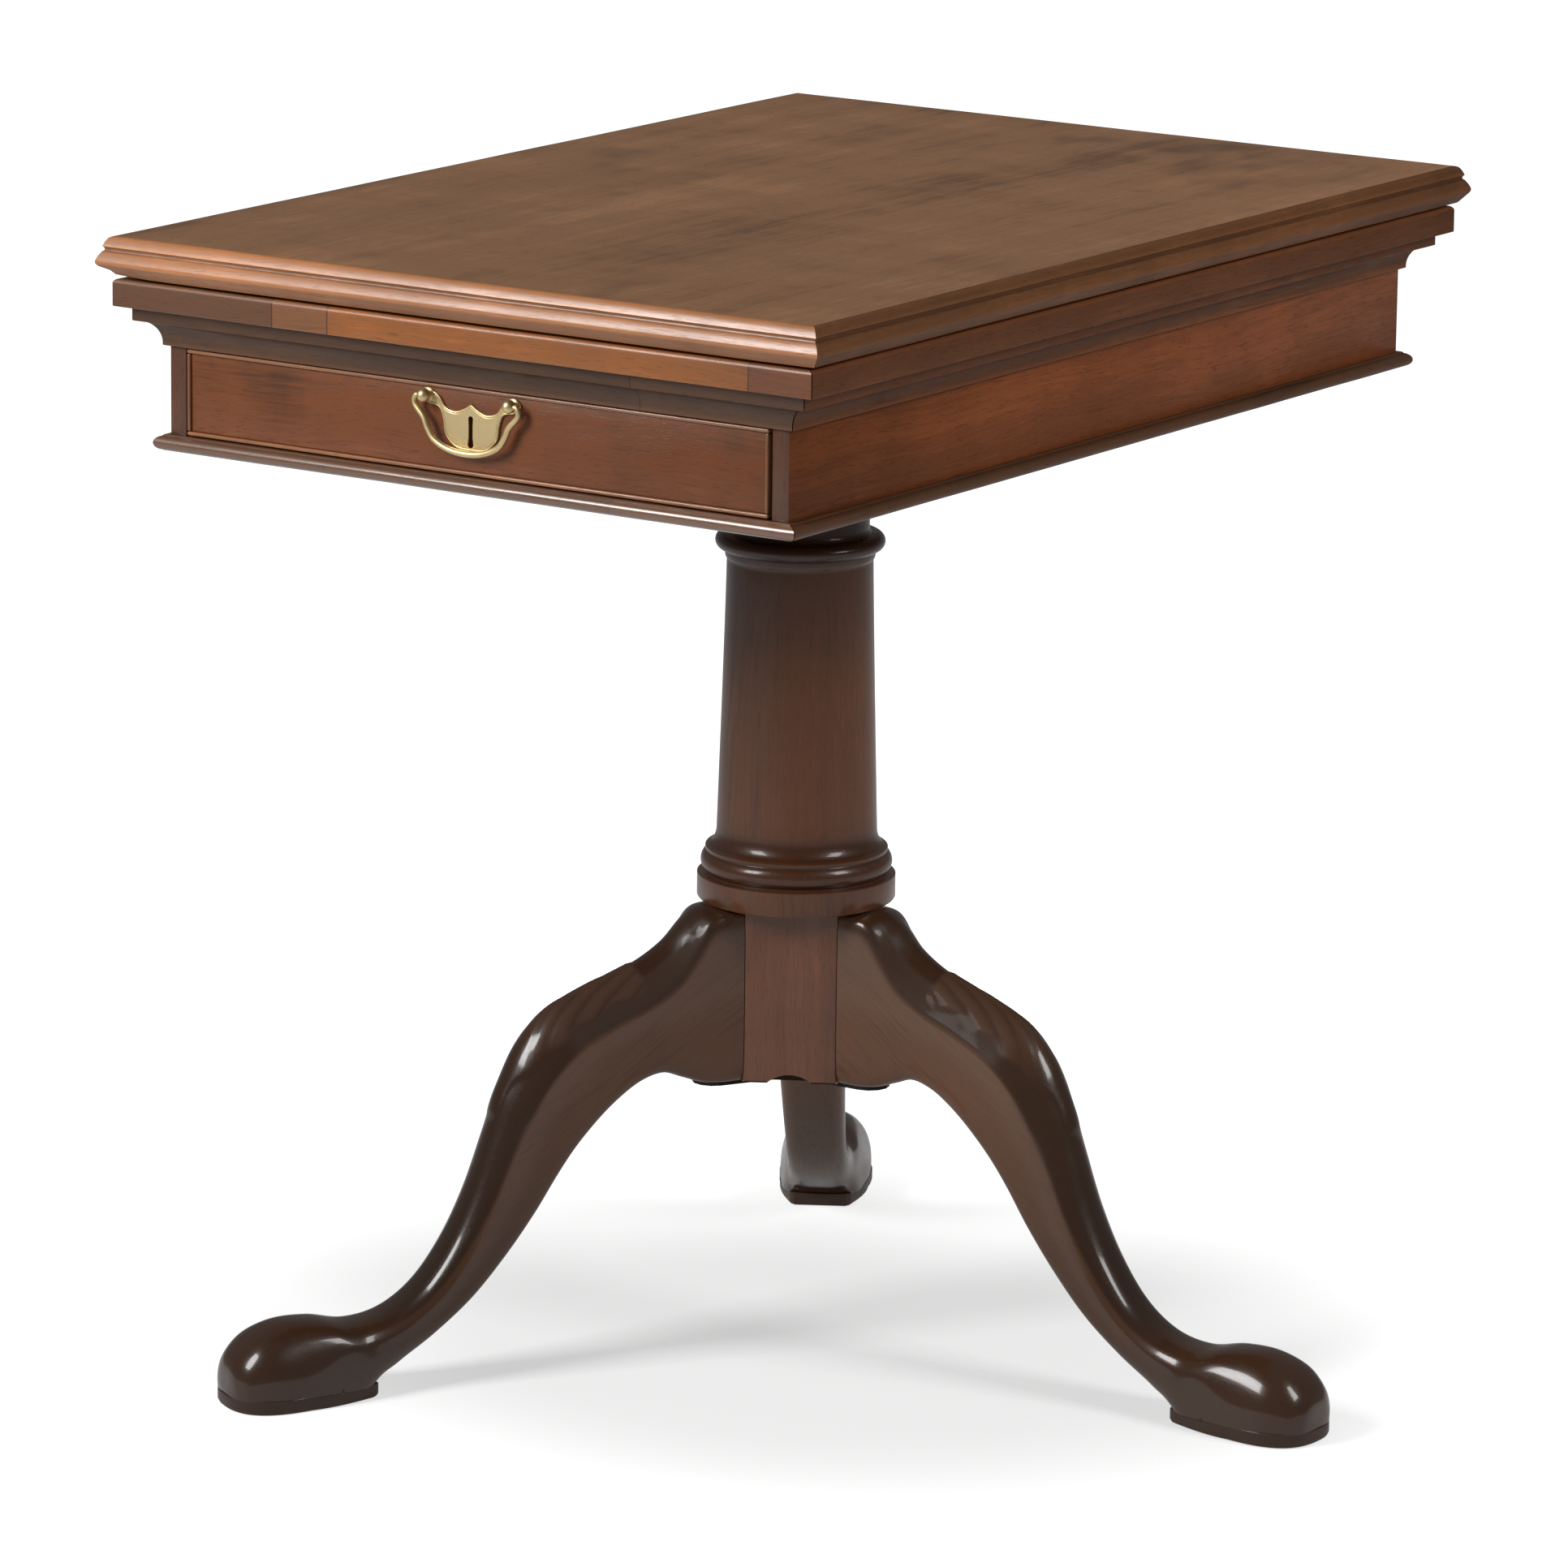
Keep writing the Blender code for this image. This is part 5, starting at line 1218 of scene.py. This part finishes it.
class TABLE_OT_legs(bpy.types.Operator):
    """Models one cabriole leg with its carved knee and pad foot, and copies it round the block"""

    bl_idname = "reading_table.legs"
    bl_label = "Legs"

    def execute(self, context):
        sole = self.sole()
        # The sole is darkened and dulled all over: dirt and painted shade.
        for name in ("dull", "shade"):
            store(sole, name, "FLOAT", np.full(len(sole.data.vertices), 0.55))
        pattern = joined(self.limb(), sole)
        for number, (name, turn) in enumerate(LEG_TURNS.items()):
            # Each leg darkens towards its foot: painted shade.
            tone = toned(look().leg_colour, 0.82 if name == "leg_front" else 1.0)
            wood = mahogany(f"{name}_wood", tone, "X", 21.0, streaks=0.22, mottle=0.35, pores=0.15,
                            roughness=0.26, spread=0.1, shine=0.25, coat=0.5, coat_roughness=0.1, dirt=1.0,
                            wear=0.5, attribute="grain", fade=("Z", 0.2, 0.05, 0.55), dulled=True)
            pick(pattern)
            bpy.ops.object.duplicate(linked=False)
            leg = named(f"{name}_carved")
            own_plank = np.array([0.7, 0.9, 1.3]) * number
            store(leg, "grain", "FLOAT_VECTOR", self.grain(coordinates(leg)) + own_plank)
            leg.rotation_euler = (0, 0, math.radians(turn))
            leg.location = (AXIS_X, 0, 0)
            settle(leg, "base", wood, [name], smooth=34)
        bpy.data.objects.remove(pattern)
        return {"FINISHED"}

    def grain(self, places):
        """Plank coordinates of a leg that points along +X, whose grain falls towards the foot."""
        slope = math.radians(-33)
        along = places[:, 0] * math.cos(slope) + places[:, 2] * math.sin(slope)
        over = places[:, 2] * math.cos(slope) - places[:, 0] * math.sin(slope)
        return np.stack([along, places[:, 1], over], 1)

    def limb(self):
        """Lofts a grid through the leg's stations and carves its knee."""
        rows, fine = 300, 60
        steps = np.linspace(0, len(LEG_STATIONS) - 1, rows + 1)
        path = np.array(smooth_path(LEG_STATIONS, fine))
        path = path[np.minimum(np.round(steps * fine).astype(int), len(path) - 1)]
        rings, across = [], []
        for row in path:
            half_ring, reach = self.half_section(*row[5:], top=26, side=14, under=24)
            rings.append(np.concatenate([half_ring[::-1] * [1, -1], half_ring[1:]]))
            across.append(np.concatenate([-reach[::-1], reach[1:]]))
        section = np.array(rings)
        middle = (path[:, 0:2] + path[:, 2:4]) / 2
        lift = (path[:, 0:2] - path[:, 2:4]) / 2
        places = np.empty((*section.shape[:2], 3))
        places[..., 0] = middle[:, None, 0] + lift[:, None, 0] * section[..., 0]
        places[..., 1] = path[:, None, 4] * section[..., 1]
        places[..., 2] = np.maximum(middle[:, None, 1] + lift[:, None, 1] * section[..., 0], FOOT_Z0)
        carving = knee_carving(steps[:, None] + np.zeros(section.shape[:2]), np.array(across))
        normal = np.cross(np.gradient(places, axis=1), np.gradient(places, axis=0))
        normal /= np.maximum(np.linalg.norm(normal, axis=2, keepdims=True), 1e-12)
        centre = places.mean(1, keepdims=True)
        facing = np.sign(((places - centre) * normal).sum(2).mean())
        places += normal * facing * (carving.pop("relief") * look().carving_depth)[..., None]
        clear_selection()
        columns = section.shape[1] - 1
        bpy.ops.mesh.primitive_grid_add(
            x_subdivisions=rows, y_subdivisions=columns, size=1, location=(0, 0, 0))
        limb = named("leg_pattern")
        flat = coordinates(limb)
        i = np.round((flat[:, 0] + 0.5) * rows).astype(int)
        j = np.round((flat[:, 1] + 0.5) * columns).astype(int)
        limb.data.vertices.foreach_set("co", places[i, j].astype(np.float32).ravel())
        for name, values in carving.items():
            store(limb, name, "FLOAT", values[i, j])
        bpy.ops.object.mode_set(mode="EDIT")
        bpy.ops.mesh.select_all(action="SELECT")
        bpy.ops.mesh.remove_doubles(threshold=0.000002)
        bpy.ops.mesh.fill_holes(sides=0)
        return outward(limb)

    def half_section(self, square, crown, share, top, side, under):
        """Half of a section from its upper middle round to its lower middle, as (up, across).

        With it comes how far round each point lies: 1 at the arris of the crowned face, 2 at the widest
        place and 3 underneath. The last three values are the counts of faces on these three stretches.
        """
        over = np.linspace(0, 1, top + 1)
        down = np.linspace(0, 1, side + 1)[1:]
        crowned_out = np.concatenate([over, np.ones(side)])
        crowned_up = np.concatenate([1 - crown * over ** 1.9, (1 - crown) * (1 - down)])
        arris, plain = 0.62, 2 / 2.5
        angle = np.concatenate([np.linspace(0, arris, top + 1), np.linspace(arris, 1, side + 1)[1:]])
        angle = angle * math.pi / 2
        up = crowned_up * share + np.cos(angle).clip(0) ** plain * (1 - share)
        out = crowned_out * share + np.sin(angle) ** plain * (1 - share)
        eased_faces, passes = 9, 14
        near, far = top - eased_faces, top + eased_faces
        for _ in range(passes):
            for line in (out, up):
                line[near:far] = (line[near - 1:far - 1] + 2 * line[near:far] + line[near + 1:far + 1]) / 4
        turn = np.linspace(0, math.pi / 2, 240)
        low_out, low_up = np.cos(turn).clip(0) ** (2 / square), -np.sin(turn) ** (2 / square)
        length = np.concatenate([[0], np.cumsum(np.hypot(np.diff(low_out), np.diff(low_up)))])
        even = np.linspace(0, length[-1], under + 1)[1:]
        up = np.concatenate([up, np.interp(even, length, low_up)])
        out = np.concatenate([out, np.interp(even, length, low_out)])
        below = np.linspace(0, 1, under + 1)[1:]
        return np.stack([up, out], 1), np.concatenate([over, 1 + down, 2 + below])

    def sole(self):
        """Egg-shaped sole under the pad foot, wide at the toe, with its edges eased."""
        middle, reach = (SOLE_HEEL_R + SOLE_TOE_R) / 2, (SOLE_TOE_R - SOLE_HEEL_R) / 2
        outline = [(-1.0, 0.62 * t) for t in np.linspace(0.94, -0.94, 9)]
        flank = [(-1 + t, 0.64 + 0.36 * math.sin(t * math.pi / 2)) for t in np.linspace(0.05, 0.95, 14)]
        outline += [(along, -across) for along, across in flank]
        for angle in np.linspace(-90, 90, 49):
            along = abs(math.cos(math.radians(angle))) ** 0.8
            across = math.copysign(abs(math.sin(math.radians(angle))) ** 0.8, angle)
            outline.append((along, across * (1 + 0.22 * along)))
        outline += reversed(flank)
        levels = ((0.0090, 0.990), (0.0086, 0.999), (0.0080, 1.0), (0.0022, 1.0), (0.0007, 0.985),
                  (0.0, 0.955))
        rings = []
        for z, shrink in levels:
            rings.append([Vector((middle + reach * a * shrink, SOLE_W / 2 * b * shrink, z))
                          for a, b in outline])
        return sweep("leg_sole", rings)


def knee_carving(station, across):
    """Relief, age, dullness and painted shade of a leg with a leaf on its knee.

    The leaf is drawn over u, from 0 at its upper end to 1 at its tip, and v, from 0 on the leg's ridge to
    1 at the arris of its crowned face. Its tip is smooth and glossy, and the rest is lobed and dull.
    """

    def step(low, high, value):
        """A smooth step from 0 to 1 as a value goes from low to high, which may be the lesser."""
        t = np.clip((value - low) / (high - low), 0, 1)
        return t * t * (3 - 2 * t)

    leaf_start, leaf_length, lobe_count = 4.0, 4.6, 5.2
    u = (station - leaf_start) / leaf_length
    v = np.abs(across)
    width = 0.74 - 0.50 * step(0.55, 1.0, u) + 0.045 * np.sin(u * math.tau * 4.5)
    inside = step(width + 0.06, width - 0.04, v) * step(-0.004, 0.004, u) * step(1.03, 0.97, u)
    phase = lobe_count * (u - 0.6 * v)
    lobes = np.abs(np.sin(math.pi * phase)) ** 0.6
    strands = 0.5 + 0.5 * np.cos(math.tau * 3 * phase)
    veins = step(0.04, 0.18, v)
    spine = np.exp(-(v / 0.08) ** 2)
    curl = np.exp(-((u - 0.93) / 0.10) ** 2 - (v / 0.4) ** 2)
    leaf = 0.42 + (0.45 * (lobes - 0.6) + 0.12 * strands) * veins * step(0.72, 0.38, u)
    leaf += 0.2 * spine * step(0.8, 0.4, u)
    hollow = inside * ((0.8 - lobes) * veins * 1.1 - 0.3 * spine + 0.1) * step(0.78, 0.42, u)
    foot = step(12.0, 14.5, station)
    shoulder = step(0.45, 0.65, v) * step(1.3, 1.05, v) * step(0.8, 2.5, station) * step(6.6, 5.6, station)
    crown = step(1.32, 1.0, v) * step(0.0, 1.2, station) * step(15.5, 12.0, station)
    dull = np.maximum(shoulder * 0.9, inside * 0.9 * step(0.6, 0.4, u))
    return {
        "relief": inside * leaf + 0.4 * curl,
        "age": np.clip(hollow, -1, 1),
        "dull": dull + 0.5 * step(1.9, 2.2, v) * (1 - foot),
        # Painted shade on the crowned face and on the foot, less on the leaf's panel.
        "shade": np.maximum(crown * (0.82 - inside * 0.24 * step(0.8, 0.5, u)), 0.42 * foot),
    }


class TABLE_OT_screws(bpy.types.Operator):
    """Models one slotted screw head and sets copies in the hinges, plate, bearer and lock"""

    bl_idname = "reading_table.screws"
    bl_label = "Screws"

    def execute(self, context):
        brass = metal("screw_brass", toned(look().brass_colour, 0.7), 0.9, roughness=0.36)
        iron = metal("screw_iron", look().iron_colour, 0.9, roughness=0.5, dark=0.45, hammered=0.4)
        up, down, back = (0, 0, 1), (0, 0, -1), (0, 1, 0)
        near, far = 0.0085, 0.0175
        for word, face, body, row in (("lower", up, "base", (near, far, near)),
                                      ("upper", down, "top", (far, near, far))):
            low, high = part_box(f"hinge_front_{word}_leaf")
            knuckles_x, hinge_y = high.x - LEAF_W, -low.y - HINGE_L / 2
            places = []
            for side in (-1, 1):
                for away, along in zip(row, (-0.021, 0.0, 0.021)):
                    places.append((knuckles_x + away, side * hinge_y + along, LEAF_FACES[word]))
            self.row(f"{word}_hinge_screws", places, face, (0.0030, 0.00016), brass, body, "brass")
        plate_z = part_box("spider_plate")[0].z
        places = []
        for turn in LEG_TURNS.values():
            for reach in (0.040, 0.058):
                out = direction(turn) * reach
                places.append((AXIS_X + out.x, out.y, plate_z))
        self.row("spider_screws", places, down, (0.0042, 0.0012), iron, "base", "iron")
        low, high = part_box("bearer_block")
        inset_x, inset_y = 0.02, 0.022
        rows = (low.y + inset_y, high.y - inset_y)
        places = [(x, y, low.z) for x in (low.x + inset_x, high.x - inset_x) for y in rows]
        self.row("bearer_screws", places, down, (0.0048, 0.0010), iron, "base", "iron")
        low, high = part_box("lock_case")
        inset = 0.005
        rows = (low.z + inset, high.z - inset)
        places = [(x, high.y, z) for x in (low.x + inset, high.x - inset) for z in rows]
        self.row("lock_screws", places, back, (0.0022, 0.0007), iron, "drawer", "iron")
        return {"FINISHED"}

    def row(self, name, places, face, size, finish, body, slot):
        """Copies of one screw head, each with its slot turned its own way, joined to one piece."""
        radius, rise = size
        profile = [(0.0, rise)] + [(radius * r, rise * z) for r, z in arc((0, 0), (1, 1), 80, 0, 9)]
        head = turned("screw_head", profile + [(radius, -rise), (0.0, -rise)], steps=24)
        long, half = radius * 1.2, radius * 0.13
        cut(head, board("slot_cutter", (-long, -half, rise * 0.3), (long, half, rise * 2), half * 0.1))
        heads = []
        for number, place in enumerate(places):
            pick(head)
            bpy.ops.object.duplicate(linked=False)
            one = named(f"{name}_{number}")
            spin = Matrix.Rotation(number * 2.1 + 0.4, 3, "Z")
            one.rotation_euler = (Vector(face).to_track_quat("Z", "Y").to_matrix() @ spin).to_euler()
            one.location = place
            bpy.ops.object.transform_apply(location=True, rotation=True, scale=True)
            heads.append(one)
        bpy.data.objects.remove(head)
        piece = joined(*heads)
        named(name)
        settle(piece, body, finish, smooth=30)


# Stage


class TABLE_OT_stage(bpy.types.Operator):
    """Sets the floor, the soft lights, the even light and the camera"""

    bl_idname = "reading_table.stage"
    bl_label = "Stage"

    def execute(self, context):
        studio = context.scene.stage_look
        clear_selection()
        bpy.ops.mesh.primitive_plane_add(size=60, location=(0, 0, -0.0003))
        floor = named("studio_floor")
        floor.data.materials.append(self.paper(studio))
        self.lamp("left_softbox", offset=(-0.98, -2.1, 1.8), size=(0.85, 1.1), power=studio.left_power)
        self.lamp("right_softbox", offset=(2.0, 0.12, 1.65), size=(0.7, 0.85), power=studio.right_power)
        world = bpy.data.worlds.new("studio")
        world.use_nodes = True
        sky = world.node_tree
        direct, mirrored = self.rays(sky)
        more = calc(sky, "MULTIPLY", mirrored, studio.mirrored - studio.fill)
        other = calc(sky, "ADD", more, studio.fill)
        sky.nodes["Background"].inputs["Color"].default_value = (1, 1, 1, 1)
        sky.links.new(calc(sky, "MAXIMUM", direct, other), sky.nodes["Background"].inputs["Strength"])
        context.scene.world = world
        turn = Matrix.Identity(3)
        for axis, degrees in CAMERA_TURNS:
            turn = turn @ Matrix.Rotation(math.radians(degrees), 3, axis)
        bpy.ops.object.camera_add(location=CAMERA_PLACE, rotation=turn.to_euler())
        camera = named("studio_camera")
        camera.data.sensor_fit = "HORIZONTAL"
        camera.data.sensor_width = CAMERA_SENSOR
        camera.data.lens = CAMERA_LENS
        camera.data.clip_end = 100
        context.scene.camera = camera
        context.scene.view_settings.view_transform = "Standard"
        return {"FINISHED"}

    def paper(self, studio):
        """White studio paper that keeps the shadow, and that gloss and metal show near the table.

        What the camera sees of it is whitened, least in the middle of an oval in front of the column, which
        leaves a painted shadow there round the cast ones.
        """
        made = bpy.data.materials.new("studio_paper")
        made.use_nodes = True
        tree = made.node_tree
        shader = tree.nodes["Principled BSDF"]
        for key, value in (("Base Color", (0.6, 0.6, 0.6, 1)), ("Roughness", 0.6),
                           ("Specular IOR Level", 0.2), ("Emission Color", (1, 1, 1, 1))):
            shader.inputs[key].default_value = value
        direct, mirrored = self.rays(tree)
        oval_x, oval_y, narrow = AXIS_X + 0.03, -0.03, 0.85
        place = node(tree, "ShaderNodeMapping", {
            "Vector": node(tree, "ShaderNodeTexCoord").outputs["Object"],
            "Location": (-narrow * oval_x, -oval_y, 0), "Scale": (narrow, 1, 1)}).outputs[0]
        away = node(tree, "ShaderNodeVectorMath", {0: place}, operation="LENGTH").outputs["Value"]
        painted_shadow_oval = span(tree, away, 0.16, 0.46, studio.floor_glow, 0.84)
        seen = calc(tree, "MULTIPLY", calc(tree, "MAXIMUM", painted_shadow_oval, span(tree, away, 0.32, 0.60)), direct)
        in_gloss = calc(tree, "MULTIPLY", span(tree, away, 0.8, 1.5, 0.22, studio.mirrored), mirrored)
        tree.links.new(calc(tree, "ADD", seen, in_gloss), shader.inputs["Emission Strength"])
        return made

    def rays(self, tree):
        """Whether the camera or glass sees the backdrop, and whether a glossy surface does."""
        path = node(tree, "ShaderNodeLightPath").outputs
        direct = calc(tree, "MAXIMUM", path["Is Camera Ray"], path["Is Transmission Ray"])
        return direct, path["Is Glossy Ray"]

    def lamp(self, name, offset, size, power):
        """A soft rectangular light, placed from the column's axis, that faces the table's box."""
        aim = Vector((AXIS_X, 0, 0.5))
        place = Vector(offset) + Vector((AXIS_X, 0, 0))
        turn = (place - aim).to_track_quat("Z", "Y").to_euler()
        bpy.ops.object.light_add(type="AREA", location=place, rotation=turn)
        light = named(name)
        light.data.shape = "RECTANGLE"
        light.data.size, light.data.size_y = size
        light.data.energy = power


class TABLE_PT_panel(bpy.types.Panel):
    """Lists the table's pieces and its finish"""

    bl_idname = "TABLE_PT_panel"
    bl_label = "Reading table"
    bl_space_type = "VIEW_3D"
    bl_region_type = "UI"
    bl_category = "Reading table"

    def draw(self, context):
        for settings in (context.scene.table_look, context.scene.stage_look):
            for name in settings.bl_rna.properties.keys():
                if name not in ("rna_type", "name"):
                    self.layout.prop(settings, name)
        for maker in MAKERS:
            self.layout.operator(maker.bl_idname)


MAKERS = (
    TABLE_OT_top, TABLE_OT_cornice, TABLE_OT_base_moulding, TABLE_OT_box, TABLE_OT_easel, TABLE_OT_drawer,
    TABLE_OT_handle, TABLE_OT_column, TABLE_OT_legs, TABLE_OT_screws, TABLE_OT_stage,
)
CLASSES = (TableLook, StageLook, *MAKERS, TABLE_PT_panel)


def register():
    for one in CLASSES:
        bpy.utils.register_class(one)
    bpy.types.Scene.table_look = bpy.props.PointerProperty(type=TableLook)
    bpy.types.Scene.stage_look = bpy.props.PointerProperty(type=StageLook)


def unregister():
    del bpy.types.Scene.stage_look
    del bpy.types.Scene.table_look
    for one in reversed(CLASSES):
        bpy.utils.unregister_class(one)


def main():
    register()
    bpy.ops.reading_table.top()
    bpy.ops.reading_table.cornice()
    bpy.ops.reading_table.base_moulding()
    bpy.ops.reading_table.box()
    bpy.ops.reading_table.easel()
    bpy.ops.reading_table.drawer()
    bpy.ops.reading_table.handle()
    bpy.ops.reading_table.column()
    bpy.ops.reading_table.legs()
    bpy.ops.reading_table.screws()
    bpy.ops.reading_table.stage()


if __name__ == "__main__":
    main()
